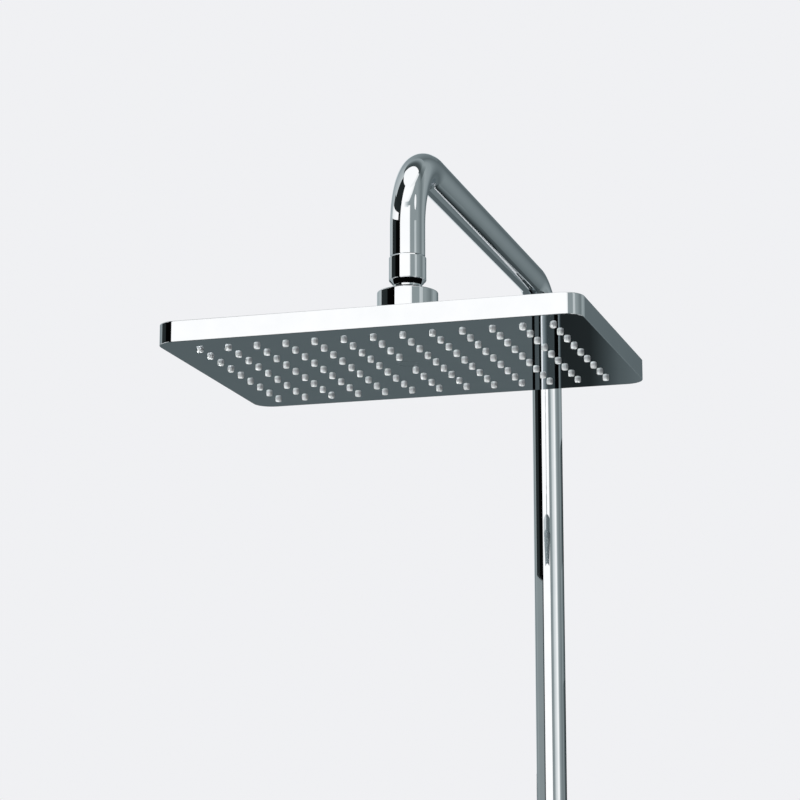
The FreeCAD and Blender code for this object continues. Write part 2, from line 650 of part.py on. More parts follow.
def make_boss_seal():
    piece = new_piece("boss_seal", HEAD)
    turned(piece, [ring("boss_neck_radius + fit", "boss_flange_radius",
                        "boss_base + boss_flange_thickness", "ceiling")])


def make_retaining_nut():
    piece = new_piece("retaining_nut", HEAD)
    thread = "boss_neck_radius + fit"
    step = "boss_top + nut_relief"
    lip_across, lip_up = on_sphere("socket_radius", "lip_angle")
    turned(piece, [[(thread, "collar_top"), ("nut_radius", "collar_top"),
                    ("nut_radius", "nut_top", "round", "nut_edge_round"), ("lip_radius", "nut_top"),
                    (lip_across, lip_up, "right", "socket_radius"), ("socket_radius", "ball_height"),
                    ("socket_radius", step), (thread, step)]])


def make_seat(label, start, end):
    """Make a slippery ring that is a belt of a sphere."""
    piece = new_piece(label, HEAD)
    turned(piece, [[on_sphere("seat_bore", start) + ("right", "seat_bore"), on_sphere("seat_bore", end),
                    on_sphere("seat_outside", end) + ("left", "seat_outside"),
                    on_sphere("seat_outside", start)]])


def make_ball_o_ring():
    piece = new_piece("ball_o_ring", HEAD)
    drop = "(boss_drop + ring_pocket_depth - ring_section - fit)"
    across = f"sqrt((ball_radius + fit + ring_section) ^ 2 - {drop} ^ 2)"
    turned(piece, [("circle", across, f"ball_height - {drop}", "ring_section")])


# Ball stem: ball, neck and the sleeve that screws onto the arm, turned from one bar


def make_swivel_ball():
    piece = new_piece("swivel_ball", HEAD)
    thread = "arm_thread_radius + fit"
    turned(piece, [[("ball_bore", "ball_height - ball_flat"),
                    ("sqrt(ball_radius ^ 2 - ball_flat ^ 2)", "ball_height - ball_flat",
                     "left", "ball_radius"),
                    ("neck_radius", "ball_height + sqrt(ball_radius ^ 2 - neck_radius ^ 2)"),
                    ("neck_radius", "shoulder_height"), ("shoulder_radius", "shoulder_height"),
                    ("sleeve_radius", "sleeve_bottom"), ("sleeve_radius", "sleeve_top - sleeve_chamfer"),
                    ("sleeve_radius - sleeve_chamfer", "sleeve_top"), (thread, "sleeve_top"),
                    (thread, "socket_floor"), ("limiter_radius + fit", "socket_floor"),
                    ("limiter_radius + fit", "limiter_floor"), ("ball_bore", "limiter_floor")]])


def make_flow_limiter():
    piece = new_piece("flow_limiter", HEAD)
    turned(piece, [disc("limiter_radius", "limiter_floor", "socket_floor")])
    hole = extrude(piece, "XY_Plane", [("circle", "limiter_circle", "0", "limiter_hole")],
                   "limiter_floor - overrun", "socket_floor + overrun", cut=True)
    in_ring(piece, [hole], "limiter_count")


def make_stem_washer():
    piece = new_piece("stem_washer", HEAD)
    turned(piece, [ring("stem_washer_bore", "arm_thread_radius", "socket_floor", "strainer_floor")])


def make_strainer():
    piece = new_piece("strainer", HEAD)
    turned(piece, [disc("arm_thread_radius", "strainer_floor", "nipple_floor")])
    holes = [("circle", f"strainer_ring_step * {place + 1}", "0", "strainer_hole")
             for place in range(int(number("strainer_rings")))]
    cut = extrude(piece, "XY_Plane", holes, "strainer_floor - overrun",
                  "nipple_floor + overrun", cut=True)
    in_ring(piece, [cut], "strainer_count")


# Bent tube: it rises from the ball stem, runs level to the riser line and drops to the bracket


def make_arm_nipple():
    piece = new_piece("arm_nipple", HEAD)
    top = "tube_start + nipple_spigot"
    turned(piece, [[("nipple_bore", "nipple_floor"), ("arm_thread_radius", "nipple_floor"),
                    ("arm_thread_radius", "tube_start"), ("tube_bore - fit", "tube_start"),
                    ("tube_bore - fit", top), ("nipple_bore", top)]])


def make_bent_arm():
    piece = new_piece("bent_arm", HEAD)
    route = [("0", "tube_start"), ("0", "head_drop - bend_radius", "right", "bend_radius"),
             ("bend_radius", "head_drop"), ("arm_reach - bend_radius", "head_drop", "right", "bend_radius"),
             ("arm_reach", "head_drop - bend_radius"), ("arm_reach", "tube_joint")]
    spine = new_sketch(piece, "YZ_Plane", [route], closed=False)
    circles = [("circle", "0", "0", "tube_radius"), ("circle", "0", "0", "tube_bore")]
    section = new_sketch(piece, "XY_Plane", circles, "tube_start")
    pipe = new_feature(piece, "AdditivePipe", section)
    pipe.Spine = (spine, [])


# Riser: the lower tube, the inner joiner with its rings, and the union on the mixer's outlet

JOINER_GROOVES = [f"({sign} (joiner_length / 2 - groove_inset - groove_step * {place}))"
                  for sign, place in (("-", 0), ("-", 1), ("", 1), ("", 0))]


def grooved(outside, floor, centres):
    """Give the corners of an outline that climbs a wall with ring grooves in it."""
    corners = []
    for centre in centres:
        low, high = f"{centre} - groove_width / 2", f"{centre} + groove_width / 2"
        corners += [(outside, low), (floor, low), (floor, high), (outside, high)]
    return corners


def make_pipe_joiner():
    piece = new_piece("pipe_joiner", BRACKET)
    outside = "tube_bore - fit"
    turned(piece, [[("joiner_bore", "-joiner_length / 2"), (outside, "-joiner_length / 2")]
                   + grooved(outside, "tube_bore - groove_depth", JOINER_GROOVES)
                   + [(outside, "joiner_length / 2"), ("joiner_bore", "joiner_length / 2")]])


def make_joiner_o_rings():
    piece = new_piece("joiner_o_rings", BRACKET)
    across = "tube_bore - fit - ring_section"
    turned(piece, [("circle", across, centre, "ring_section") for centre in JOINER_GROOVES])


def make_riser_pipe():
    piece = new_piece("riser_pipe", RISER)
    turned(piece, [ring("tube_bore", "tube_radius", "riser_foot", "bracket_height")])


def make_riser_collar():
    piece = new_piece("riser_collar", RISER)
    top = "riser_foot + collar_spigot"
    spigot = "tube_bore - fit"
    turned(piece, [[("union_washer_bore", "collar_floor"), ("union_thread_radius - gap", "collar_floor"),
                    ("union_thread_radius - gap", "riser_foot"), (spigot, "riser_foot"), (spigot, top),
                    ("union_washer_bore", top)]])


def make_riser_washer():
    piece = new_piece("riser_washer", RISER)
    turned(piece, [ring("union_washer_bore", "union_thread_radius - gap", "outlet_height", "collar_floor")])


def chamfer_hexagon(piece, low, high, about="0"):
    """Turn off the sharp corners at both ends of a hexagon nut."""
    reach = "union_hex_radius + overrun"
    edge = "union_hex_radius - hex_chamfer"
    slope = "(overrun + hex_chamfer) / sqrt(3)"
    lower = [(edge, low), (edge, f"{low} - overrun"), (reach, f"{low} - overrun"),
             (reach, f"{low} + {slope}")]
    upper = [(edge, high), (reach, f"{high} - {slope}"), (reach, f"{high} + overrun"),
             (edge, f"{high} + overrun")]
    return [turned(piece, [shape], cut=True, about=about) for shape in (lower, upper)]


def make_riser_nut():
    piece = new_piece("riser_nut", RISER)
    top = "riser_foot + gap + union_lip"
    thread = "union_thread_radius + fit"
    extrude(piece, "XY_Plane", [hexagon("union_hex_radius")], "union_nut_start", top)
    turned(piece, [[("0", "union_nut_start - overrun"), (thread, "union_nut_start - overrun"),
                    (thread, "riser_foot + gap"), ("tube_radius + fit", "riser_foot + gap"),
                    ("tube_radius + fit", f"{top} + overrun"), ("0", f"{top} + overrun")]], cut=True)
    chamfer_hexagon(piece, "union_nut_start", top)


# Wall bracket: a screwed plate with a peg, a rosette over it and a clamp round the tube joint


def make_riser_clamp():
    piece = new_piece("riser_clamp", BRACKET)
    turned(piece, [[("0", "-clamp_height / 2"),
                    ("clamp_radius", "-clamp_height / 2", "round", "clamp_round"),
                    ("clamp_radius", "clamp_height / 2", "round", "clamp_round"),
                    ("0", "clamp_height / 2")]])
    extrude(piece, "XZ_Plane", [("circle", "0", "0", "stem_radius")], "-(wall_gap - stem_start)", "0")
    turned(piece, [disc("liner_outside + fit", "-clamp_height / 2 - overrun",
                        "clamp_height / 2 + overrun")], cut=True)
    extrude(piece, "XZ_Plane", [("circle", "0", "0", "peg_radius + fit")],
            "-(wall_gap - stem_start + overrun)",
            "-(wall_gap - plate_thickness - peg_length - gap)", cut=True)
    extrude(piece, "XY_Plane", [("circle", "0", "wall_gap - grub_from_wall", "grub_radius + fit")],
            "-stem_radius - overrun", "0", cut=True)


def make_clamp_liner():
    piece = new_piece("clamp_liner", BRACKET)
    turned(piece, [ring("tube_radius + fit", "liner_outside", "-liner_height / 2", "liner_height / 2")])


def make_clamp_grub_screw():
    piece = new_piece("clamp_grub_screw", ("0", "-grub_from_wall", "bracket_height"))
    low = "-(peg_radius + grub_length)"
    turned(piece, [disc("grub_radius", low, "-peg_radius")])
    extrude(piece, "XY_Plane", [hexagon("grub_socket")], f"{low} - overrun",
            f"{low} + grub_socket_depth", cut=True)


def make_wall_plate():
    piece = new_piece("wall_plate", WALL_AT_BRACKET, OUT_OF_WALL)
    turned(piece, [[("0", "0"), ("plate_radius", "0"), ("plate_radius", "plate_thickness"),
                    ("peg_radius", "plate_thickness"), ("peg_radius", "plate_thickness + peg_length"),
                    ("0", "plate_thickness + peg_length")]])
    aside = "wall_screw_spacing / 2"
    shank = extrude(piece, "XY_Plane", [("circle", "0", aside, "wall_screw_radius + fit")],
                    "-overrun", "plate_thickness + overrun", cut=True)
    head = extrude(piece, "XY_Plane", [("circle", "0", aside, "wall_screw_head + fit")],
                   "plate_thickness - wall_screw_sunk", "plate_thickness + overrun", cut=True)
    mirrored(piece, [shank, head], "XZ_Plane")


def make_wall_cover():
    piece = new_piece("wall_cover", WALL_AT_BRACKET, OUT_OF_WALL)
    inner = "rosette_radius - rosette_wall"
    turned(piece, [[(inner, "0"), ("rosette_radius", "0"),
                    ("rosette_radius", "rosette_depth", "round", "rosette_round"),
                    ("stem_radius + fit", "rosette_depth"),
                    ("stem_radius + fit", "rosette_depth - rosette_wall"),
                    (inner, "rosette_depth - rosette_wall")]])


def make_wall_screws():
    piece = new_piece("wall_screws", WALL_AT_BRACKET, OUT_OF_WALL)
    seat = "plate_thickness - wall_screw_sunk"
    screw = turned(piece, [[("0", "-wall_screw_reach"), ("wall_screw_radius", "-wall_screw_reach"),
                            ("wall_screw_radius", seat), ("wall_screw_head", seat),
                            ("wall_screw_head", "plate_thickness"), ("0", "plate_thickness")]],
                   offset="-wall_screw_spacing / 2")
    mirrored(piece, [screw], "XZ_Plane")


def make_wall_plugs():
    piece = new_piece("wall_plugs", WALL_AT_BRACKET, OUT_OF_WALL)
    bore = "wall_screw_radius + fit"
    floor = "-wall_screw_reach - gap"
    plug = turned(piece, [[("0", "-plug_length"), ("plug_radius", "-plug_length"), ("plug_radius", "-gap"),
                           (bore, "-gap"), (bore, floor), ("0", floor)]],
                  offset="-wall_screw_spacing / 2")
    mirrored(piece, [plug], "XZ_Plane")


# Mixer body: a bar with a bore at each end for a cartridge, an outlet on top and two rear inlets


def make_mixer_body():
    piece = new_piece("mixer_body", MIXER)
    turned(piece, [[("-bar_end", "0"), ("bar_end", "0"), ("bar_end", "bar_radius", "round", "bar_edge"),
                    ("-bar_end", "bar_radius", "round", "bar_edge")]], lying=True)
    turned(piece, [disc("union_thread_radius", "0", "outlet_height")])
    flange_start = "wall_gap - spigot_front - spigot_flange"
    flange_end = "wall_gap - spigot_front"
    spigot = turned(piece, [[("0", "0"), ("spigot_radius", "0"), ("spigot_radius", flange_start),
                             ("union_flange", flange_start), ("union_flange", flange_end),
                             ("0", flange_end)]],
                    about="inlet_offset", role="XY_Plane")
    mirrored(piece, [spigot])
    thermo_floor, flow_floor = "bar_end - thermo_depth", "flow_depth - bar_end"
    turned(piece, [[("-bar_end - overrun", "0"), ("bar_end + overrun", "0"),
                    ("bar_end + overrun", "cartridge_bore"), (thermo_floor, "cartridge_bore"),
                    (thermo_floor, "passage_radius"), (flow_floor, "passage_radius"),
                    (flow_floor, "cartridge_bore"), ("-bar_end - overrun", "cartridge_bore")]],
           cut=True, lying=True)
    turned(piece, [disc("outlet_bore", "0", "outlet_height + overrun")], cut=True)
    inlet = turned(piece, [disc("valve_bore + fit", "0", f"{flange_end} + overrun")], cut=True,
                   about="inlet_offset", role="XY_Plane")
    mirrored(piece, [inlet])


def make_wall_nipples():
    piece = new_piece("wall_nipples", WALL_AT_INLETS, OUT_OF_WALL)
    thread, shoulder = "arm_thread_radius", "nipple_shoulder_radius"
    nipple = turned(piece, [[("inlet_bore", "-wall_thread_length"), (thread, "-wall_thread_length"),
                             (thread, "0"), (shoulder, "0"), (shoulder, "nipple_shoulder"),
                             ("union_thread_radius", "nipple_shoulder"),
                             ("union_thread_radius", "nipple_front"),
                             ("inlet_bore", "nipple_front")]], about="inlet_offset")
    mirrored(piece, [nipple])


def make_inlet_rosettes():
    piece = new_piece("inlet_rosettes", WALL_AT_INLETS, OUT_OF_WALL)
    inner = "inlet_rosette_radius - rosette_wall"
    hole = "union_thread_radius + fit"
    front = "inlet_rosette_depth"
    rosette = turned(piece, [[(inner, "0"), ("inlet_rosette_radius", "0"),
                              ("inlet_rosette_radius", front, "round", "rosette_round"), (hole, front),
                              (hole, f"{front} - rosette_wall"), (inner, f"{front} - rosette_wall")]],
                     about="inlet_offset")
    mirrored(piece, [rosette])


def make_inlet_washers():
    piece = new_piece("inlet_washers", WALL_AT_INLETS, OUT_OF_WALL)
    washer = turned(piece, [ring("union_washer_bore", "union_flange", "nipple_front", "spigot_front")],
                    about="inlet_offset")
    mirrored(piece, [washer])


def make_inlet_nuts():
    piece = new_piece("inlet_nuts", WALL_AT_INLETS, OUT_OF_WALL)
    lip = "spigot_front + spigot_flange + gap"
    end = f"{lip} + union_lip"
    thread, hole = "union_thread_radius + fit", "spigot_radius + fit"
    outline = [(f"inlet_offset + {corner[0]}", corner[1]) for corner in hexagon("union_hex_radius")]
    nut = extrude(piece, "XY_Plane", [outline], "inlet_nut_start", end)
    bore = turned(piece, [[("0", "inlet_nut_start - overrun"), (thread, "inlet_nut_start - overrun"),
                           (thread, lip), (hole, lip), (hole, f"{end} + overrun"),
                           ("0", f"{end} + overrun")]], cut=True, about="inlet_offset")
    chamfers = chamfer_hexagon(piece, "inlet_nut_start", end, about="inlet_offset")
    mirrored(piece, [nut, bore] + chamfers)


def make_check_valves():
    piece = new_piece("check_valves", WALL_AT_INLETS, OUT_OF_WALL)
    start = "spigot_front + gap"
    throat = f"{start} + valve_throat_length"
    end = f"{start} + valve_length"
    valve = turned(piece, [[("valve_throat", start), ("valve_bore", start), ("valve_bore", end),
                            ("valve_bore - tube_wall", end), ("valve_bore - tube_wall", throat),
                            ("valve_throat", throat)]], about="inlet_offset")
    mirrored(piece, [valve])


# Cartridges: lengths along the bar are measured from the mixer's middle

CARTRIDGE_GROOVES = ["(bar_end - ring_inset_inner)", "(bar_end - ring_inset)"]


def cartridge(label, turn, start, chamber, chamber_end, window):
    """Make a cartridge housing: ring grooves, side windows, a chamber and a neck for the spindle."""
    piece = new_piece(label, MIXER, turn)
    outside = "cartridge_bore - fit"
    turned(piece, [[(chamber, start), (outside, start)]
                   + grooved(outside, "cartridge_bore - cartridge_ring_depth", CARTRIDGE_GROOVES)
                   + [(outside, "bar_end"), ("cartridge_flange", "bar_end"),
                      ("cartridge_flange", "flange_end"),
                      ("neck_outside", "flange_end"), ("neck_outside", "neck_end"),
                      ("spindle_radius + fit", "neck_end"), ("spindle_radius + fit", chamber_end),
                      (chamber, chamber_end)]])
    hole = extrude(piece, "YZ_Plane", [("circle", "0", "inlet_offset", window)], "0",
                   "cartridge_bore + overrun", cut=True)
    in_ring(piece, [hole], "window_count")


def make_thermo_cartridge():
    cartridge("thermo_cartridge", TO_RIGHT, "bar_end - thermo_depth + cartridge_gap", "chamber_bore",
              "chamber_end", "window_radius")


def make_flow_cartridge():
    cartridge("flow_cartridge", TO_LEFT, "bar_end - flow_depth + cartridge_gap", "disc_chamber_bore",
              "disc_chamber_end", "flow_window_radius")


def make_thermo_spindle():
    piece = new_piece("thermo_spindle", MIXER, TO_RIGHT)
    collar = "chamber_end - gap - spindle_collar"
    nose = f"{collar} - spindle_nose_length"
    bottom = "spindle_end - spindle_hole_depth"
    turned(piece, [[("0", nose), ("spindle_nose", nose), ("spindle_nose", collar),
                    ("spindle_collar_radius", collar), ("spindle_collar_radius", "chamber_end - gap"),
                    ("spindle_radius", "chamber_end - gap"), ("spindle_radius", "spindle_end"),
                    ("screw_radius + fit", "spindle_end"), ("screw_radius + fit", bottom), ("0", bottom)]])


# Shuttle with its wax element: the spindle's nose screws it along the chamber


def make_thermo_shuttle():
    piece = new_piece("thermo_shuttle", MIXER, TO_RIGHT)
    piston_start = "shuttle_start + wax_length"
    piston_end = "shuttle_start + wax_length + piston_length"
    bore = "spindle_nose + fit"
    turned(piece, [[("0", "shuttle_start"), ("wax_radius", "shuttle_start"), ("wax_radius", piston_start),
                    ("chamber_bore - shuttle_fit", piston_start), ("chamber_bore - shuttle_fit", piston_end),
                    ("shuttle_sleeve_radius", piston_end), ("shuttle_sleeve_radius", "shuttle_end"),
                    (bore, "shuttle_end"), (bore, "shuttle_end - shuttle_bore_depth"),
                    ("0", "shuttle_end - shuttle_bore_depth")]])


# Ceramic discs of the flow cartridge and the spindle that turns the outer one


def ceramic_disc(label, low, high, ports):
    """Make a ceramic disc with one or more ports round its middle."""
    piece = new_piece(label, MIXER, TO_LEFT)
    turned(piece, [disc("disc_radius", low, high)])
    for across, up in ports:
        extrude(piece, "XY_Plane", [("circle", across, up, "disc_port")], f"{low} - overrun",
                f"{high} + overrun", cut=True)


def make_discs():
    ceramic_disc("fixed_disc", "disc_start", "disc_start + fixed_disc_thickness",
                 [("disc_port_circle", "0"), ("-disc_port_circle", "0")])
    ceramic_disc("moving_disc", "disc_face", "disc_face + moving_disc_thickness",
                 [("0", "disc_port_circle"), ("0", "-disc_port_circle")])


def make_flow_spindle():
    piece = new_piece("flow_spindle", MIXER, TO_LEFT)
    bottom = "spindle_end - spindle_hole_depth"
    driver_end = "driver_start + driver_thickness"
    turned(piece, [[("0", "driver_start"), ("driver_radius", "driver_start"), ("driver_radius", driver_end),
                    ("spindle_radius", driver_end), ("spindle_radius", "spindle_end"),
                    ("screw_radius + fit", "spindle_end"), ("screw_radius + fit", bottom), ("0", bottom)]])


def make_cartridge_o_rings():
    piece = new_piece("cartridge_o_rings", MIXER)
    radius = "cartridge_bore - fit - ring_section"
    places = CARTRIDGE_GROOVES + [f"-{groove}" for groove in CARTRIDGE_GROOVES]
    turned(piece, [("circle", place, radius, "ring_section") for place in places], lying=True)


# Stop ring on the thermostat's neck: its lug is what the stop button meets


def make_stop_ring():
    piece = new_piece("stop_ring", MIXER, TO_RIGHT)
    end = "flange_end + stop_ring_thickness"
    turned(piece, [ring("neck_outside + fit", "stop_ring_radius", "flange_end", end)])
    inner = "(neck_outside + stop_ring_radius) / 2"
    lug = [(inner, "-stop_lug_width / 2"), ("stop_lug_radius", "-stop_lug_width / 2"),
           ("stop_lug_radius", "stop_lug_width / 2"), (inner, "stop_lug_width / 2")]
    extrude(piece, "XY_Plane", [lug], "flange_end", end)


# Handles: a cup over each cartridge, held on its spindle by a screw under a cap


def handle(label, turn):
    """Make a handle's cup with its hub, screw seat, cap recess and grip flutes."""
    piece = new_piece(label, MIXER, turn)
    hub_start = "neck_end + handle_gap"
    inside = "handle_end - handle_wall"
    mouth = "bar_end + handle_gap"
    turned(piece, [[("spindle_radius + fit", hub_start), ("hub_outside", hub_start), ("hub_outside", inside),
                    ("handle_bore", inside), ("handle_bore", mouth), ("handle_radius", mouth),
                    ("handle_radius", "handle_end", "round", "handle_round"),
                    ("handle_cap_radius + fit", "handle_end"), ("handle_cap_radius + fit", "cap_floor"),
                    ("screw_head_radius + gap", "cap_floor"), ("screw_head_radius + gap", "screw_seat"),
                    ("screw_radius + screw_hole_clearance", "screw_seat"),
                    ("screw_radius + screw_hole_clearance", "spindle_end + gap"),
                    ("spindle_radius + fit", "spindle_end + gap")]])
    flute = extrude(piece, "XY_Plane",
                    [("circle", "handle_radius + flute_radius - flute_depth", "0", "flute_radius")],
                    "handle_end - flute_length", "handle_end + overrun", cut=True)
    in_ring(piece, [flute], "flute_count")
    return piece


def handle_screw(label, turn):
    """Make the socket screw that holds a handle on its spindle."""
    piece = new_piece(label, MIXER, turn)
    top = "screw_seat + screw_head_thickness"
    turned(piece, [[("0", "screw_seat - screw_reach"), ("screw_radius", "screw_seat - screw_reach"),
                    ("screw_radius", "screw_seat"), ("screw_head_radius", "screw_seat"),
                    ("screw_head_radius", top), ("0", top)]])
    extrude(piece, "XY_Plane", [hexagon("handle_screw_socket")], f"{top} - handle_screw_socket_depth",
            f"{top} + overrun", cut=True)


def handle_cap(label, turn):
    """Make the cap that closes a handle's end."""
    piece = new_piece(label, MIXER, turn)
    turned(piece, [[("0", "cap_floor"), ("handle_cap_radius", "cap_floor"),
                    ("handle_cap_radius", "handle_end", "round", "cap_edge_round"), ("0", "handle_end")]])


# Stop button: it slides in through the temperature handle's wall


def make_temperature_handle():
    piece = handle("temperature_handle", TO_RIGHT)
    extrude(piece, "YZ_Plane", [("circle", "0", "button_place", "button_radius + fit")],
            "-handle_radius - overrun", "-(button_low + button_flange)", cut=True)


def make_stop_button():
    piece = new_piece("stop_button", ("button_place", "-wall_gap", "0"))
    shelf = "button_low + button_flange"
    top = "handle_radius + button_proud"
    turned(piece, [[("0", "button_low"), ("button_flange_radius", "button_low"),
                    ("button_flange_radius", shelf), ("button_radius", shelf),
                    ("button_radius", top, "round", "button_round"), ("0", top)]])


# Flow handle: the same cup with a short grip pin that shows how far it is open


def make_flow_handle():
    piece = handle("flow_handle", TO_LEFT)
    root = "(handle_bore + handle_radius) / 2"
    extrude(piece, "YZ_Plane", [("circle", "0", "pin_place", "grip_radius")], root, "grip_top")
    doc.recompute()
    reach = number("grip_top")
    rounded(piece, "grip_round", lambda edge: abs(edge.BoundBox.XMin - reach) < number("fit"))


# Build everything, check it and write one file per piece

make_face_plate()
make_centre_cap()
make_centre_screw()
make_nozzle_mat()
make_mat_seal()
make_spray_plate()
make_plate_screws()
make_head_shell()
make_inlet_boss()
make_boss_seal()
make_retaining_nut()
make_seat("upper_seat", "upper_seat_start", "upper_seat_end")
make_seat("lower_seat", "lower_seat_start", "lower_seat_end")
make_ball_o_ring()
make_swivel_ball()
make_flow_limiter()
make_stem_washer()
make_strainer()
make_arm_nipple()
make_bent_arm()
make_pipe_joiner()
make_joiner_o_rings()
make_riser_pipe()
make_riser_collar()
make_riser_washer()
make_riser_nut()
make_riser_clamp()
make_clamp_liner()
make_clamp_grub_screw()
make_wall_plate()
make_wall_cover()
make_wall_screws()
make_wall_plugs()
make_mixer_body()
make_wall_nipples()
make_inlet_rosettes()
make_inlet_washers()
make_inlet_nuts()
make_check_valves()
make_thermo_cartridge()
make_flow_cartridge()
make_thermo_spindle()
make_thermo_shuttle()
make_discs()
make_flow_spindle()
make_cartridge_o_rings()
make_stop_ring()
make_temperature_handle()
make_stop_button()
make_flow_handle()
handle_screw("temperature_screw", TO_RIGHT)
handle_screw("flow_screw", TO_LEFT)
handle_cap("temperature_cap", TO_RIGHT)
handle_cap("flow_cap", TO_LEFT)

doc.recompute()
for thing in doc.Objects:
    if {"Invalid", "Error"} & set(thing.State):
        raise RuntimeError(f"{thing.Label}: {thing.State}")

os.makedirs("parts", exist_ok=True)
for piece in pieces:
    shape = piece.Shape
    if shape.isNull() or not shape.isValid():
        raise RuntimeError(f"{piece.Label}: bad shape")
    shape.exportStep(f"parts/{piece.Label}.step")
    print(f"{piece.Label}: {len(shape.Solids)} solids, {shape.Volume:.0f} cubic mm")
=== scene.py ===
# %% [markdown]
# A wall-hung shower system in Blender
#
# The object is a flat rain head on a ball joint, a bent tube that carries it and runs down the wall,
# and a bar mixer at the foot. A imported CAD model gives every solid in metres, +Z up, with the wall at
# y = 0. This lesson dresses that model: some pieces are modelled again with more detail, and every
# piece gets a finish built from nodes.

# %% Load the model
import math
import bmesh
import bpy
from mathutils import Matrix, Vector


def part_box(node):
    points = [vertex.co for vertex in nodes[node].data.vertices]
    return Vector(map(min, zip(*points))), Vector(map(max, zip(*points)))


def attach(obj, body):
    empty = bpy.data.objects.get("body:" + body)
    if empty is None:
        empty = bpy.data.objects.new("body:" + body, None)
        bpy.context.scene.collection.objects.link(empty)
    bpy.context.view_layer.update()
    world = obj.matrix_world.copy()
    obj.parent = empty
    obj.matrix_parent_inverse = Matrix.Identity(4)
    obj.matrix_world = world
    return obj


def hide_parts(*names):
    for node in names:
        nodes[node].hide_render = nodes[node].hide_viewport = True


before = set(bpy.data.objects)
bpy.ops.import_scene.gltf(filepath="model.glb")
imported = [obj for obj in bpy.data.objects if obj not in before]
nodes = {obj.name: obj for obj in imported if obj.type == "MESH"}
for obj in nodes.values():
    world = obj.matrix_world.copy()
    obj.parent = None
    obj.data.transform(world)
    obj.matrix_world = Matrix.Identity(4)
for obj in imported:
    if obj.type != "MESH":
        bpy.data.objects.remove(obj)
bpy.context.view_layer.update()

# %% [markdown]
# A length from the CAD source is in millimetres and Blender works in metres. The main lines of the
# object are the riser's axis, the axis of the drop that carries the head, and the level of the arm.
# They are read off the CAD nodes' boxes where that is possible, so the new pieces meet the old ones.
# The tube's end stays a narrow gap above the ball stem, as it does in the CAD.

# %% Main lines and sizes
MM = 0.001
TUBE_RADIUS = 11 * MM
TUBE_BORE = 9.5 * MM
BEND_RADIUS = 50 * MM
STEM_GAP = 0.3 * MM
RISER_LINE = -65 * MM
DROP_LINE = -436 * MM
arm_low, arm_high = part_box("bent_arm")
riser_low, riser_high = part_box("riser_pipe")
arm_level = arm_high.z - TUBE_RADIUS
drop_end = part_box("swivel_ball")[1].z + STEM_GAP
print(f"arm level {arm_level:.4f}, drop ends at {drop_end:.4f}, tube joint at {arm_low.z:.4f}")

# %% [markdown]
# Every new piece ends the same way: the mesh is cleaned, shaded, given its finish and tied to the body
# that it moves with, and the CAD nodes that it stands for are hidden. One function does this, so no step
# is missed.
# Normals are worked out again after doubles are merged, because spinning can turn a shape inside out.
# The smaller function before it only adds an object, which is all that the studio's sheets need.

# %% Finish a piece
SHARP = math.radians(32)
DOUBLES = 0.001 * MM


def add_object(bm, name, finish):
    """Turn a bmesh into an object in the scene."""
    mesh = bpy.data.meshes.new(name)
    bm.to_mesh(mesh)
    bm.free()
    mesh.materials.append(finish)
    made = bpy.data.objects.new(name, mesh)
    bpy.context.scene.collection.objects.link(made)
    return made


def make_object(bm, name, finish, body, replaced):
    """Clean a bmesh and turn it into a piece that stands for a CAD node."""
    bmesh.ops.remove_doubles(bm, verts=bm.verts, dist=DOUBLES)
    bmesh.ops.recalc_face_normals(bm, faces=bm.faces)
    for face in bm.faces:
        face.smooth = True
    for edge in bm.edges:
        edge.smooth = len(edge.link_faces) == 2 and edge.calc_face_angle() < SHARP
    piece = add_object(bm, name, finish)
    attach(piece, body)
    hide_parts(*replaced)
    weighting = piece.modifiers.new("weighted normals", "WEIGHTED_NORMAL")
    weighting.keep_sharp = True
    print(f"{name}: {len(piece.data.polygons)} faces")


# %% [markdown]
# A finish is a shader with patterns laid over it. The patterns read Object coordinates, which stay
# fixed to the piece and are in metres, so a noise scale of 1000 gives a grain of about a millimetre.
# These helpers each add one pattern: a noise, a spread of roughness, a spread of colour, or a relief.
# Nearly all of a noise lies between 0.3 and 0.7, so that is the span that the spreads are drawn over.

# %% Helpers for finishes
NOISE_LOW = 0.3
NOISE_HIGH = 0.7


def start_finish(name):
    """Start a material and give it back with its shader."""
    finish = bpy.data.materials.new(name)
    finish.use_nodes = True
    return finish, finish.node_tree.nodes["Principled BSDF"]


def grain(finish, scale, stretch=(1, 1, 1), detail=3):
    """Add a noise on Object coordinates, drawn out along an axis where its stretch is small."""
    tree = finish.node_tree
    place = tree.nodes.new("ShaderNodeTexCoord")
    mapping = tree.nodes.new("ShaderNodeMapping")
    mapping.inputs["Scale"].default_value = stretch
    noise = tree.nodes.new("ShaderNodeTexNoise")
    noise.inputs["Scale"].default_value = scale
    noise.inputs["Detail"].default_value = detail
    tree.links.new(place.outputs["Object"], mapping.inputs["Vector"])
    tree.links.new(mapping.outputs["Vector"], noise.inputs["Vector"])
    return noise.outputs["Fac"]


def spread(finish, pattern, socket, low, high):
    """Let a pattern move one of the shader's values between two limits."""
    tree = finish.node_tree
    span = tree.nodes.new("ShaderNodeMapRange")
    span.inputs["From Min"].default_value = NOISE_LOW
    span.inputs["From Max"].default_value = NOISE_HIGH
    span.inputs["To Min"].default_value = low
    span.inputs["To Max"].default_value = high
    tree.links.new(pattern, span.inputs["Value"])
    tree.links.new(span.outputs["Result"], socket)


def tint(finish, pattern, socket, dark, light):
    """Let a pattern move the shader's colour between two close shades."""
    tree = finish.node_tree
    ramp = tree.nodes.new("ShaderNodeValToRGB")
    ramp.color_ramp.elements[0].position = NOISE_LOW
    ramp.color_ramp.elements[0].color = (*dark, 1)
    ramp.color_ramp.elements[1].position = NOISE_HIGH
    ramp.color_ramp.elements[1].color = (*light, 1)
    tree.links.new(pattern, ramp.inputs["Fac"])
    tree.links.new(ramp.outputs["Color"], socket)


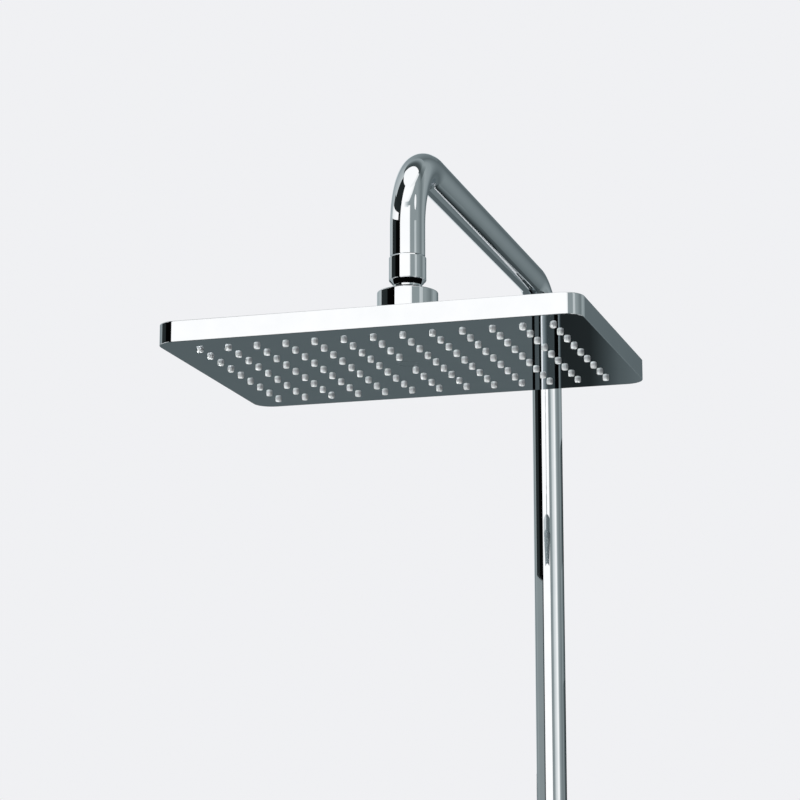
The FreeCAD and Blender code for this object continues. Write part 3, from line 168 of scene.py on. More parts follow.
def relief(finish, pattern, socket, height, strength):
    """Let a pattern raise and sink the surface by a height in metres."""
    tree = finish.node_tree
    bump = tree.nodes.new("ShaderNodeBump")
    bump.inputs["Distance"].default_value = height
    bump.inputs["Strength"].default_value = strength
    tree.links.new(pattern, bump.inputs["Height"])
    tree.links.new(bump.outputs["Normal"], socket)


# %% [markdown]
# Nearly everything in sight, apart from the nozzles, has a bright chrome plate. Chrome is almost a
# mirror, so its character is in small things: the faint lines that polishing leaves, a slow waviness
# where the metal under it was cast, and a little haze where water has dried. The same recipe is mixed
# four ways, for flat plate, drawn tube, turned rings and cast bodies, each with its own lines and waves.

# %% Chrome finishes


def chrome(name, line_scale, line_stretch, wave_scale, wave_height):
    """Mix a polished chrome with its own polishing lines and waviness."""
    finish, shader = start_finish(name)
    shader.inputs["Metallic"].default_value = 1.0
    shader.inputs["Specular Tint"].default_value = (0.95, 0.97, 1.0, 1)
    haze = grain(finish, 55, detail=5)
    tint(finish, haze, shader.inputs["Base Color"], (0.86, 0.875, 0.89), (0.9, 0.91, 0.92))
    lines = grain(finish, line_scale, line_stretch, detail=2)
    spread(finish, lines, shader.inputs["Roughness"], 0.008, 0.02)
    waves = grain(finish, wave_scale, detail=1)
    relief(finish, waves, shader.inputs["Normal"], wave_height, 1.0)
    return finish


plate_chrome = chrome("polished plate chrome", 900, (0.05, 1, 1), 14, 0.01 * MM)
tube_chrome = chrome("drawn tube chrome", 1400, (1, 1, 0.04), 20, 0.004 * MM)
turned_chrome = chrome("turned ring chrome", 1600, (0.2, 0.2, 1), 30, 0.004 * MM)
cast_chrome = chrome("cast body chrome", 700, (0.1, 1, 1), 45, 0.02 * MM)
print("four chrome finishes")

# %% [markdown]
# The nozzles are one soft moulding of light grey silicone, a little see-through, so light sinks in and
# comes out beside where it went in. Subsurface scattering does that. The other finishes stand behind
# the chrome: black seals, moulded plastics, turned brass, stainless steel and lapped ceramic.

# %% Silicone, rubber and plastics


def soft(name, dark, light, roughness, depth=0.0, sheen=0.0, texture=0.02 * MM):
    """Mix a rubber, silicone or plastic, with light sinking in to a depth in metres."""
    finish, shader = start_finish(name)
    mottle = grain(finish, 400, detail=4)
    tint(finish, mottle, shader.inputs["Base Color"], dark, light)
    spread(finish, grain(finish, 2500), shader.inputs["Roughness"], roughness - 0.06, roughness + 0.06)
    relief(finish, grain(finish, 3000), shader.inputs["Normal"], texture, 0.6)
    if depth:
        shader.inputs["Subsurface Weight"].default_value = 0.25
        shader.inputs["Subsurface Scale"].default_value = depth
        shader.inputs["Subsurface Radius"].default_value = (1.0, 1.0, 1.0)
    shader.inputs["Sheen Weight"].default_value = sheen
    return finish


silicone = soft("nozzle silicone", (0.6, 0.63, 0.63), (0.64, 0.67, 0.67), 0.5, depth=0.5 * MM,
                texture=0.001 * MM)
black_rubber = soft("sealing rubber", (0.012, 0.012, 0.012), (0.03, 0.03, 0.03), 0.62, sheen=0.1)
white_plastic = soft("slide plastic", (0.8, 0.8, 0.77), (0.86, 0.86, 0.83), 0.3)
grey_plastic = soft("moulded grey plastic", (0.28, 0.29, 0.3), (0.36, 0.37, 0.38), 0.48)
print("silicone, rubber and two plastics")

# %% [markdown]
# Painted shade: the root of each nozzle, where it leaves the plate, is painted darker, and its tip keeps
# its own colour. The height on the piece decides the mix: it is full at the plate's underside and fades
# out before the tip.

# %% Painted shade at the nozzle roots
# The colour that the nozzle roots are painted with, as painted shade
ROOT_SHADE_COLOUR = (0.44, 0.46, 0.46, 1)
UNSHADED_SHARE = 0.3
root_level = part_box("face_plate")[0].z
tip_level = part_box("nozzle_mat")[0].z
silicone_tree = silicone.node_tree
silicone_shader = silicone_tree.nodes["Principled BSDF"]
unshaded_colour = silicone_shader.inputs["Base Color"].links[0].from_socket
nozzle_place = silicone_tree.nodes.new("ShaderNodeTexCoord")
nozzle_axes = silicone_tree.nodes.new("ShaderNodeSeparateXYZ")
root_shade_ramp = silicone_tree.nodes.new("ShaderNodeMapRange")
root_shade_ramp.interpolation_type = "SMOOTHSTEP"
root_shade_ramp.inputs["From Min"].default_value = tip_level + UNSHADED_SHARE * (root_level - tip_level)
root_shade_ramp.inputs["From Max"].default_value = root_level
root_shade_mix = silicone_tree.nodes.new("ShaderNodeMix")
root_shade_mix.data_type = "RGBA"
root_shade_mix.inputs["B"].default_value = ROOT_SHADE_COLOUR
silicone_tree.links.new(nozzle_place.outputs["Object"], nozzle_axes.inputs["Vector"])
silicone_tree.links.new(nozzle_axes.outputs["Z"], root_shade_ramp.inputs["Value"])
silicone_tree.links.new(root_shade_ramp.outputs["Result"], root_shade_mix.inputs["Factor"])
silicone_tree.links.new(unshaded_colour, root_shade_mix.inputs["A"])
# The painted root shade is mixed into the nozzle's own colour here
silicone_tree.links.new(root_shade_mix.outputs["Result"], silicone_shader.inputs["Base Color"])
print(f"nozzles stand out {(root_level - tip_level) / MM:.1f} mm")

# %% [markdown]
# The pieces that only a plumber sees are bare. Turned brass and stainless steel keep the fine lines that
# the tool left, so one noise, drawn out along them, moves both the roughness and the height. The two
# discs that open and close the flow are ceramic, lapped flat, so they have no relief at all.

# %% Brass, steel and ceramic


def bare_metal(name, dark, light, low, high, lines):
    """Mix a bare metal with fine turning lines."""
    finish, shader = start_finish(name)
    shader.inputs["Metallic"].default_value = 1.0
    tint(finish, grain(finish, 120, detail=5), shader.inputs["Base Color"], dark, light)
    tool_marks = grain(finish, 2200, lines)
    spread(finish, tool_marks, shader.inputs["Roughness"], low, high)
    relief(finish, tool_marks, shader.inputs["Normal"], 0.01 * MM, 0.5)
    return finish


brass = bare_metal("turned brass", (0.58, 0.42, 0.17), (0.74, 0.56, 0.27), 0.22, 0.36, (0.1, 1, 0.1))
steel = bare_metal("stainless steel", (0.5, 0.5, 0.51), (0.6, 0.6, 0.61), 0.24, 0.38, (0.1, 1, 0.1))

ceramic, ceramic_shader = start_finish("lapped ceramic")
tint(ceramic, grain(ceramic, 300), ceramic_shader.inputs["Base Color"],
     (0.82, 0.8, 0.76), (0.9, 0.88, 0.84))
spread(ceramic, grain(ceramic, 1800), ceramic_shader.inputs["Roughness"], 0.18, 0.3)
print("brass, steel and ceramic")

# %% [markdown]
# The CAD nodes keep their exact shapes and only change their finish. A node is listed once, under the
# finish that its real surface has.

# %% Give every CAD node its finish
FINISHES = {
    plate_chrome: ["face_plate", "centre_cap", "head_shell"],
    tube_chrome: ["bent_arm", "riser_pipe"],
    turned_chrome: ["retaining_nut", "swivel_ball", "arm_nipple", "riser_nut", "wall_cover",
                    "inlet_rosettes", "inlet_nuts", "stop_button", "temperature_handle",
                    "temperature_cap", "flow_handle", "flow_cap"],
    cast_chrome: ["riser_clamp", "mixer_body"],
    silicone: ["nozzle_mat"],
    black_rubber: ["mat_seal", "boss_seal", "ball_o_ring", "stem_washer", "joiner_o_rings",
                   "riser_washer", "clamp_liner", "inlet_washers", "cartridge_o_rings"],
    white_plastic: ["upper_seat", "lower_seat", "flow_limiter", "check_valves"],
    grey_plastic: ["spray_plate", "wall_plugs", "thermo_cartridge", "flow_cartridge", "stop_ring"],
    steel: ["centre_screw", "plate_screws", "strainer", "clamp_grub_screw", "wall_plate",
            "wall_screws", "temperature_screw", "flow_screw"],
    brass: ["inlet_boss", "pipe_joiner", "riser_collar", "wall_nipples",
            "thermo_spindle", "thermo_shuttle", "flow_spindle"],
    ceramic: ["fixed_disc", "moving_disc"],
}
for finish, names in FINISHES.items():
    for name in names:
        nodes[name].material_slots[0].material = finish
print(sum(len(names) for names in FINISHES.values()), "nodes have a finish")

# %% [markdown]
# The arm is one tube bent twice. A pipe bender draws it round two formers of 50 mm radius. In Blender a
# ring of edges does the same: it is extruded along each straight run and spun round each bend. The bore
# follows the same route with a smaller ring, and bridging the ends closes the wall.

# %% Bent tube
ROUND_STEPS = 96


def verts_of(parts):
    """Pick the vertices out of what an operator made."""
    return [part for part in parts if isinstance(part, bmesh.types.BMVert)]


def edges_of(parts):
    """Pick the edges out of what an operator made."""
    return [part for part in parts if isinstance(part, bmesh.types.BMEdge)]


def start_ring(bm, radius, place):
    """Lay a level ring of edges at a place."""
    made = bmesh.ops.create_circle(bm, segments=ROUND_STEPS, radius=radius,
                                   matrix=Matrix.Translation(place))
    return list({edge for vert in made["verts"] for edge in vert.link_edges})


def run(bm, edges, step):
    """Extrude a ring straight on and give back the ring at the far end."""
    made = bmesh.ops.extrude_edge_only(bm, edges=edges)["geom"]
    verts = verts_of(made)
    bmesh.ops.translate(bm, verts=verts, vec=step)
    return [edge for edge in edges_of(made) if all(vert in verts for vert in edge.verts)]


def bend(bm, edges, centre, axis, angle, steps=40):
    """Spin a ring round the centre of a bend and give back the ring at the far end."""
    made = bmesh.ops.spin(bm, geom=edges, cent=centre, axis=axis, angle=angle, steps=steps,
                          dvec=(0, 0, 0), use_merge=False)["geom_last"]
    return edges_of(made)


def tube_wall(bm, radius):
    """Lead one ring along the arm's route and give back its first and last ring."""
    bend_level = arm_level - BEND_RADIUS
    first = start_ring(bm, radius, (0, DROP_LINE, drop_end))
    ring = run(bm, first, (0, 0, bend_level - drop_end))
    ring = bend(bm, ring, (0, DROP_LINE + BEND_RADIUS, bend_level), (1, 0, 0), -math.pi / 2)
    ring = run(bm, ring, (0, RISER_LINE - DROP_LINE - 2 * BEND_RADIUS, 0))
    ring = bend(bm, ring, (0, RISER_LINE - BEND_RADIUS, bend_level), (1, 0, 0), -math.pi / 2)
    last = run(bm, ring, (0, 0, arm_low.z - bend_level))
    return first, last


tube = bmesh.new()
outside_ends = tube_wall(tube, TUBE_RADIUS)
bore_ends = tube_wall(tube, TUBE_BORE)
for outside_ring, bore_ring in zip(outside_ends, bore_ends):
    bmesh.ops.bridge_loops(tube, edges=outside_ring + bore_ring)
make_object(tube, "bent_tube", tube_chrome, "column", ["bent_arm"])

# %% [markdown]
# The riser is the straight lower tube. It butts against the bent one inside the wall bracket, so the
# joint never shows, and stands in the union on the mixer at its foot.

# %% Riser tube
riser = bmesh.new()
for radius in (TUBE_RADIUS, TUBE_BORE):
    ring = start_ring(riser, radius, (0, RISER_LINE, riser_low.z))
    run(riser, ring, (0, 0, riser_high.z - riser_low.z))
riser_rims = [edge for edge in riser.edges if edge.is_boundary]
for level in (riser_low.z, riser_high.z):
    rim = [edge for edge in riser_rims if abs(edge.verts[0].co.z - level) < MM]
    bmesh.ops.bridge_loops(riser, edges=rim)
make_object(riser, "riser_tube", tube_chrome, "column", ["riser_pipe"])

# %% [markdown]
# Ball stems, nipples and the moulds of wall plugs come off a lathe. A lathe is easy to copy: draw half
# of the section as a closed outline of corners, round the corners that the maker broke, and spin it a
# full turn. The corners are given as across the axis, along the axis and rounding, in metres. Nipples
# and plugs come in pairs, so a second helper copies what is in a bmesh to another place.

# %% Lathe


def lathe(bm, outline, centre, axis, steps=ROUND_STEPS):
    """Spin a closed outline of corners about an axis that points along +Y or +Z."""
    verts = [bm.verts.new(centre + Vector((across, 0, 0)) + axis * along) for across, along, _ in outline]
    for vert, following in zip(verts, verts[1:] + verts[:1]):
        bm.edges.new((vert, following))
    for vert, (_, _, rounding) in zip(verts, outline):
        if rounding:
            bmesh.ops.bevel(bm, geom=[vert], offset=rounding, segments=5, profile=0.5, affect="VERTICES")
    bmesh.ops.spin(bm, geom=bm.verts[:] + bm.edges[:], cent=centre, axis=axis, angle=2 * math.pi,
                   steps=steps, dvec=(0, 0, 0), use_merge=True)


def add_copy(bm, step):
    """Copy all that is in a bmesh and move the copy on."""
    made = bmesh.ops.duplicate(bm, geom=bm.verts[:] + bm.edges[:] + bm.faces[:])["geom"]
    bmesh.ops.translate(bm, verts=verts_of(made), vec=step)


# %% [markdown]
# The ball stem is one turned piece: a ball that the head's seats grip, a short neck and a sleeve that
# screws onto the arm. Its top edge is a narrow slope that faces the sheet overhead, which is the bright
# ring at the seam under the tube. The cone under the sleeve ends in a low lip over the head's nut.

# %% Ball stem
BALL_RADIUS = 12 * MM
BALL_FLAT = 9 * MM
BALL_STEPS = 24
NECK_RADIUS = 7 * MM
LIP_RADIUS = 8.75 * MM
LIP_HEIGHT = 1.3 * MM
CONE_HEIGHT = 3.1 * MM
SLEEVE_RADIUS = 11.65 * MM
SLOPE_HEIGHT = 0.85 * MM
SLOPE_WIDTH = 0.55 * MM
SOCKET_RADIUS = 10.53 * MM
SOCKET_FLOOR = 0.9 * MM
POCKET_RADIUS = 6.45 * MM
POCKET_FLOOR = -2.1 * MM
STEM_BORE = 4.5 * MM
stem_low, stem_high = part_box("swivel_ball")
neck_top = BALL_FLAT + BALL_RADIUS
sleeve_foot = neck_top + CONE_HEIGHT
stem_top = stem_high.z - stem_low.z
first_turn = -math.asin(BALL_FLAT / BALL_RADIUS)
last_turn = math.acos(NECK_RADIUS / BALL_RADIUS)
stem_outline = [(STEM_BORE, 0, 0)]
for step in range(BALL_STEPS + 1):
    turn = first_turn + (last_turn - first_turn) * step / BALL_STEPS
    stem_outline.append((BALL_RADIUS * math.cos(turn), BALL_FLAT + BALL_RADIUS * math.sin(turn), 0))
stem_outline += [
    (NECK_RADIUS, neck_top - LIP_HEIGHT, 0),
    (LIP_RADIUS, neck_top - LIP_HEIGHT, 0.25 * MM),
    (LIP_RADIUS, neck_top, 0.15 * MM),
    (SLEEVE_RADIUS, sleeve_foot, 0.4 * MM),
    (SLEEVE_RADIUS, stem_top - SLOPE_HEIGHT, 0.1 * MM),
    (SLEEVE_RADIUS - SLOPE_WIDTH, stem_top, 0.05 * MM),
    (SOCKET_RADIUS, stem_top, 0),
    (SOCKET_RADIUS, sleeve_foot + SOCKET_FLOOR, 0),
    (POCKET_RADIUS, sleeve_foot + SOCKET_FLOOR, 0),
    (POCKET_RADIUS, sleeve_foot + POCKET_FLOOR, 0),
    (STEM_BORE, sleeve_foot + POCKET_FLOOR, 0),
]
stem = bmesh.new()
lathe(stem, stem_outline, Vector((0, DROP_LINE, stem_low.z)), Vector((0, 0, 1)))
make_object(stem, "ball_stem", turned_chrome, "column", ["swivel_ball"])

# %% [markdown]
# The two wall nipples screw into the pipes behind the tiles, so their rear ends carry a half-inch pipe
# thread. A thread is a ridge that climbs by one pitch each turn: a closed ridge outline, whose foot is
# sunk into the nipple, is spun with a push along the axis. The rest is turned, and the left nipple is a
# copy of the right one.

# %% Wall nipples
THREAD_PITCH = 1.814 * MM
THREAD_CREST = 10.48 * MM
THREAD_ROOT = 9.3 * MM
THREAD_FOOT = 9.1 * MM
THREAD_STEPS = 48
THREAD_TURNS = 7
THREAD_END = 12.8 * MM
NIPPLE_END = 14 * MM
NIPPLE_RIM = 9.2 * MM
NIPPLE_BORE = 6.5 * MM
COLLAR_RADIUS = 12.5 * MM
COLLAR_FRONT = -8 * MM
NIPPLE_RADIUS = 13.2 * MM
NIPPLE_FRONT = -19 * MM
INLET_ACROSS = 75 * MM


def thread(bm, centre, axis):
    """Wind a pipe thread along an axis from its centre and close the ridge's two ends."""
    # Each corner: across the axis, and along it as a share of the pitch
    ridge = ((THREAD_FOOT, 0.05), (THREAD_CREST, 0.44), (THREAD_CREST, 0.56), (THREAD_FOOT, 0.95))
    verts = [bm.verts.new(centre + Vector((across, 0, 0)) + axis * share * THREAD_PITCH)
             for across, share in ridge]
    edges = [bm.edges.new(pair) for pair in zip(verts, verts[1:] + verts[:1])]
    made = bmesh.ops.spin(bm, geom=edges, cent=centre, axis=axis, angle=2 * math.pi * THREAD_TURNS,
                          steps=THREAD_STEPS * THREAD_TURNS, dvec=axis * THREAD_PITCH / THREAD_STEPS,
                          use_merge=False)
    bmesh.ops.contextual_create(bm, geom=verts)
    bmesh.ops.contextual_create(bm, geom=verts_of(made["geom_last"]))


nipples = bmesh.new()
nipple_outline = [
    (NIPPLE_BORE, NIPPLE_END, 0.3 * MM),
    (NIPPLE_RIM, NIPPLE_END, 0.4 * MM),
    (THREAD_ROOT, THREAD_END, 0),
    (THREAD_ROOT, 0, 0),
    (COLLAR_RADIUS, 0, 0.4 * MM),
    (COLLAR_RADIUS, COLLAR_FRONT, 0.4 * MM),
    (NIPPLE_RADIUS, COLLAR_FRONT, 0.4 * MM),
    (NIPPLE_RADIUS, NIPPLE_FRONT, 0.5 * MM),
    (NIPPLE_BORE, NIPPLE_FRONT, 0),
]
right_inlet = Vector((INLET_ACROSS, 0, 0))
into_wall = Vector((0, 1, 0))
lathe(nipples, nipple_outline, right_inlet, into_wall)
thread(nipples, right_inlet, into_wall)
add_copy(nipples, (-2 * INLET_ACROSS, 0, 0))
make_object(nipples, "threaded_nipples", brass, "column", ["wall_nipples"])

# %% [markdown]
# The bracket's two screws grip plastic plugs in the wall. A plug has a row of barbs that let it in and
# not out, so its outline is a saw: each barb rises slowly from the tip's side and ends in a step that
# faces the room.

# %% Wall plugs
PLUG_RADIUS = 3.9 * MM
PLUG_WAIST = 3.35 * MM
PLUG_BORE = 2.25 * MM
PLUG_STEPS = 40
BARBS = 9
BARB_LENGTH = 4 * MM
BARB_STEP = 0.6 * MM
LAST_BARB_RADIUS = 3.7 * MM
TIP_RADIUS = 2.8 * MM
TIP_HOLE = 0.8 * MM
TIP_WALL = 1.7 * MM
plug_low, plug_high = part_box("wall_plugs")
plug_outline = [(PLUG_BORE, plug_low.y, 0), (PLUG_RADIUS, plug_low.y, 0.3 * MM)]
for barb in range(1, BARBS):
    barb_end = plug_low.y + barb * BARB_LENGTH
    plug_outline += [(PLUG_WAIST, barb_end - BARB_STEP, 0), (PLUG_RADIUS, barb_end, 0)]
plug_outline += [
    (LAST_BARB_RADIUS, plug_low.y + BARBS * BARB_LENGTH, 0),
    (TIP_RADIUS, plug_high.y, 0.5 * MM),
    (TIP_HOLE, plug_high.y, 0),
    (TIP_HOLE, plug_high.y - TIP_WALL, 0),
    (PLUG_BORE, plug_high.y - TIP_WALL, 0),
]
plugs = bmesh.new()
upper_plug = Vector((0, 0, plug_high.z - PLUG_RADIUS))
lathe(plugs, plug_outline, upper_plug, into_wall, steps=PLUG_STEPS)
add_copy(plugs, (0, 0, plug_low.z + plug_high.z - 2 * upper_plug.z))
make_object(plugs, "barbed_plugs", grey_plastic, "column", ["wall_plugs"])

# %% [markdown]
# A real mixer hangs about a metre over the shower's floor, so the stage is a pale round floor a metre
# down and a pale world around it. The world is plain white-grey for the camera and for reflections,
# and dimmer for the light that it sends, so pale plastics keep their shade. The floor glows a little
# for the camera alone, so that it is about as pale as the world behind it.

# %% Floor and world
PALE = (0.872, 0.877, 0.898)
SENT_LIGHT = (0.3, 0.3, 0.31)
STAGE_LINE = -0.3
FLOOR_LEVEL = -1.0
FLOOR_RADIUS = 2.5
FLOOR_GLOW = 0.44


def join_values(tree, operation, first, second):
    """Join two values with a math node; the second may be a plain number."""
    node = tree.nodes.new("ShaderNodeMath")
    node.operation = operation
    tree.links.new(first, node.inputs[0])
    if isinstance(second, float):
        node.inputs[1].default_value = second
    else:
        tree.links.new(second, node.inputs[1])
    return node.outputs[0]


floor_finish, floor_shader = start_finish("pale floor")
floor_shader.inputs["Roughness"].default_value = 0.8
floor_shader.inputs["Specular IOR Level"].default_value = 0.2
tint(floor_finish, grain(floor_finish, 3), floor_shader.inputs["Base Color"],
     (0.84, 0.845, 0.865), (0.87, 0.875, 0.895))
floor_shader.inputs["Emission Color"].default_value = (*PALE, 1)
floor_tree = floor_finish.node_tree
floor_path = floor_tree.nodes.new("ShaderNodeLightPath")
floor_glow = join_values(floor_tree, "MULTIPLY", floor_path.outputs["Is Camera Ray"], FLOOR_GLOW)
floor_tree.links.new(floor_glow, floor_shader.inputs["Emission Strength"])
disc = bmesh.new()
bmesh.ops.create_circle(disc, cap_ends=True, segments=128, radius=FLOOR_RADIUS,
                        matrix=Matrix.Translation((0, STAGE_LINE, FLOOR_LEVEL)))
floor = add_object(disc, "floor", floor_finish)
floor.visible_glossy = False

world = bpy.data.worlds.new("pale world")
bpy.context.scene.world = world
world.use_nodes = True
world_tree = world.node_tree
seen = world_tree.nodes["Background"]
seen.inputs["Color"].default_value = (*PALE, 1)
sent = world_tree.nodes.new("ShaderNodeBackground")
sent.inputs["Color"].default_value = (*SENT_LIGHT, 1)
path = world_tree.nodes.new("ShaderNodeLightPath")
is_seen = path.outputs["Is Camera Ray"]
for ray in ("Is Glossy Ray", "Is Transmission Ray"):
    is_seen = join_values(world_tree, "MAXIMUM", is_seen, path.outputs[ray])
choice = world_tree.nodes.new("ShaderNodeMixShader")
world_tree.links.new(is_seen, choice.inputs["Fac"])
world_tree.links.new(sent.outputs[0], choice.inputs[1])
world_tree.links.new(seen.outputs[0], choice.inputs[2])
world_tree.links.new(choice.outputs[0], world_tree.nodes["World Output"].inputs["Surface"])
print("floor and world")

# %% [markdown]
# Chrome has no colour of its own: what shows is the studio. A photographer lights it with large white
# sheets and shapes it with black and grey flags, and here they are the same: patches of a wide dome
# that only reflections see. A patch runs between two bearings and two heights, in degrees, and its
# tone may change from one side to the other. A patch may also lean as it rises, or be an oval. Bearing
# 0 is +X and 90 is straight behind the object.
#
# Tones run from 0, black, to 255, white, and middle greys are a little cool, as in a daylight studio.
# A tone is turned into light with the same curve that a screen uses, so a chrome surface shows it.

# %% Glowing sheets
DOME_CENTRE = Vector((0, STAGE_LINE, 0.9))
DOME_RADIUS = 12.0
CHROME_LOSS = 0.9
COOL_CAST = (-8, 2, 4)


def card_colour(tone):
    """Turn a tone into the light of a card that chrome shows as that tone."""
    share = tone / 255
    middle = 4 * share * (1 - share)
    levels = [min(255, max(0, tone + shift * middle)) / 255 for shift in COOL_CAST]
    return [((level + 0.055) / 1.055) ** 2.4 / CHROME_LOSS for level in levels]


def card_finish():
    """Make the glow that all cards share: it reads each card's own tones."""
    finish = bpy.data.materials.new("card glow")
    finish.use_nodes = True
    tree = finish.node_tree
    tones = tree.nodes.new("ShaderNodeAttribute")
    tones.attribute_name = "tone"
    glow = tree.nodes.new("ShaderNodeEmission")
    tree.links.new(tones.outputs["Color"], glow.inputs["Color"])
    tree.links.new(glow.outputs[0], tree.nodes["Material Output"].inputs["Surface"])
    return finish


def paint(bm, tones):
    """Give a sheet its tone, which may run from its left side to its right side."""
    layer = bm.verts.layers.float_color.new("tone")
    for vert in bm.verts:
        share = vert.co.x + 0.5
        vert[layer] = (*card_colour(tones[0] + share * (tones[1] - tones[0])), 1)


def hang(bm, name, finish):
    """Hang a sheet on the stage so that only reflections see it."""
    sheet = add_object(bm, name, finish)
    sheet.visible_camera = False
    sheet.visible_diffuse = False
    sheet.visible_shadow = False


def card(name, finish, bearings, heights, tones, nearness, lean=0, oval=False):
    """Hang a patch of the dome whose tone runs from its first bearing to its last."""
    bm = bmesh.new()
    if oval:
        bmesh.ops.create_circle(bm, cap_ends=True, cap_tris=True, segments=32, radius=0.5)
    else:
        bmesh.ops.create_grid(bm, x_segments=24, y_segments=12, size=0.5)
    paint(bm, tones)
    for vert in bm.verts:
        across, up = vert.co.x + 0.5, vert.co.y + 0.5
        turn = math.radians(bearings[0] + across * (bearings[1] - bearings[0]) + lean * up)
        rise = math.radians(heights[0] + up * (heights[1] - heights[0]))
        toward = Vector((math.cos(turn) * math.cos(rise), math.sin(turn) * math.cos(rise), math.sin(rise)))
        vert.co = DOME_CENTRE + toward * DOME_RADIUS * nearness
    hang(bm, name, finish)


glow = card_finish()
print("one glow for all sheets")

# %% [markdown]
# The far cards cover the dome, and nearer ones hang in front of them. The low and level strips and
# sheets among the near ones brighten the chrome for views from other sides. They leave the band from
# 16 to 11 degrees under the horizon free: in the photograph's view, the riser that the head's underside
# mirrors shows that band, and it has to stay dark.

# %% Reflection cards
# Each card: bearings, heights, tones at its first and last bearing
FAR_CARDS = {
    "overhead rear": ((16, 162), (60, 68), (142, 158)),
    "front sheet": ((237, 292), (-3, 66), (262, 262)),
    "front right grey": ((292, 356), (13, 66), (145, 146)),
    "front right foot": ((292, 312), (-3, 13), (130, 150)),
    "front right glow": ((312, 345), (-3, 13), (190, 258)),
    "front right glow end": ((345, 356), (-3, 13), (235, 150)),
    "right wing": ((-4, 20), (-3, 66), (146, 118)),
    "rear right rise": ((20, 40), (-3, 60), (112, 155)),
    "rear right sheet": ((40, 62), (-3, 60), (158, 144)),
    "rear shade": ((62, 79), (-22, 60), (142, 97)),
    "rear shade end": ((79, 97), (-22, 30), (97, 108)),
    "rear left top": ((79, 138), (30, 60), (106, 160)),
    "rear left glow": ((97, 124), (3, 30), (222, 205)),
    "rear left glow end": ((124, 138), (-3, 30), (205, 135)),
    "left wing top": ((138, 181), (36, 66), (165, 192)),
    "left wing": ((138, 171), (14, 36), (165, 186)),
    "left wing foot": ((138, 171), (-3, 14), (120, 156)),
    "left black flag top": ((181, 237), (36, 66), (38, 36)),
    "left black flag": ((171, 237), (8, 36), (44, 36)),
    "left foot": ((171, 226), (-3, 8), (140, 138)),
    "left foot gap": ((226, 237), (-3, 8), (120, 25)),
    "rear low sheet": ((97, 130), (-16, 3), (91, 93)),
    "rear low foot": ((86, 130), (-34, -16), (118, 115)),
    "low black": ((130, 178), (-60, -3), (3, 3)),
    "low left grey": ((178, 222), (-20, -3), (80, 83)),
    "low left gap": ((222, 240), (-60, -3), (10, 8)),
    "low front light": ((240, 254), (-17, -3), (200, 165)),
    "low front fade": ((254, 292), (-17, -3), (165, 66)),
    "low front sheet": ((240, 290), (-60, -17), (262, 240)),
    "low front slate": ((290, 351), (-60, -3), (66, 68)),
    "low right black": ((351, 422), (-48, -3), (2, 2)),
    "low right sheet": ((355, 415), (-68, -48), (245, 245)),
    "low rear shade": ((62, 86), (-34, -22), (84, 60)),
    "floor flag": ((0, 360), (-90, -34), (62, 62)),
}
NEAR_CARDS = {
    "front sheet edge": ((290, 302), (13, 37), (262, 236)),
    "front right sheet": ((288, 376), (60.5, 66), (250, 226)),
    "left white patch": ((166, 222), (20, 27.5), (235, 262)),
    "left black foot": ((205, 237), (8, 20), (4, 2)),
    "front wedge edge": ((256, 293), (35.5, 45), (256, 196)),
    "low front line": ((243, 252), (-18, -12.9), (262, 262)),
    "low left strip": ((196, 212), (-50, -16), (232, 240)),
    "low right strip": ((320, 337), (-50, -16), (240, 232)),
    "low right rise": ((54, 62.5), (-22, -3), (132, 142)),
    "low rear left sheet": ((138, 172), (-48, -16), (205, 235)),
    "low rear right sheet": ((10, 44), (-48, -16), (230, 205)),
    "level left strip": ((196, 212), (-11, -3), (232, 240)),
    "level right strip": ((320, 337), (-11, -3), (240, 232)),
    "level rear left sheet": ((138, 172), (-11, -3), (205, 235)),
    "level rear right sheet": ((10, 44), (-11, -3), (230, 205)),
    "right stripe foot": ((331, 345), (13, 19), (196, 188)),
    "high right flag": ((8, 26), (46, 61), (142, 90)),
    "high right flag end": ((26, 52), (46, 61), (90, 150)),
    "rear low shadow": ((75, 87), (-34, -16), (84, 58)),
    "rear floor flag": ((60, 136), (-64, -34), (8, 8)),
}
NEAREST_CARDS = {
    "front wedge": ((260, 293), (37.5, 42.5), (246, 150)),
}
for nearness, cards in ((1, FAR_CARDS), (0.97, NEAR_CARDS), (0.94, NEAREST_CARDS)):
    for name, (bearings, heights, tones) in cards.items():
        card(name, glow, bearings, heights, tones, nearness)
    print(len(cards), "cards at", nearness, "of the dome")
card("leaning front sheet", glow, (235, 288), (41, 61), (280, 232), 0.965, lean=57)
card("right stripe", glow, (332, 346), (28.5, 44.5), (250, 250), 0.97, oval=True)

# %% [markdown]
# Straight overhead a dome has a pole, where patches meet in a star. A flat sheet under the ceiling has
# no pole: a white disc with a straight rear edge, then a dark gap that fades to grey towards the wall.

# %% Sheets overhead


def strip(name, finish, corner, across, along, tones):
    """Hang a flat sheet from a corner, with a tone that changes across it."""
    bm = bmesh.new()
    bmesh.ops.create_grid(bm, x_segments=12, y_segments=1, size=0.5)
    paint(bm, tones)
    for vert in bm.verts:
        share, rise = vert.co.x + 0.5, vert.co.y + 0.5
        vert.co = Vector(corner) + Vector(across) * share + Vector(along) * rise
    hang(bm, name, finish)


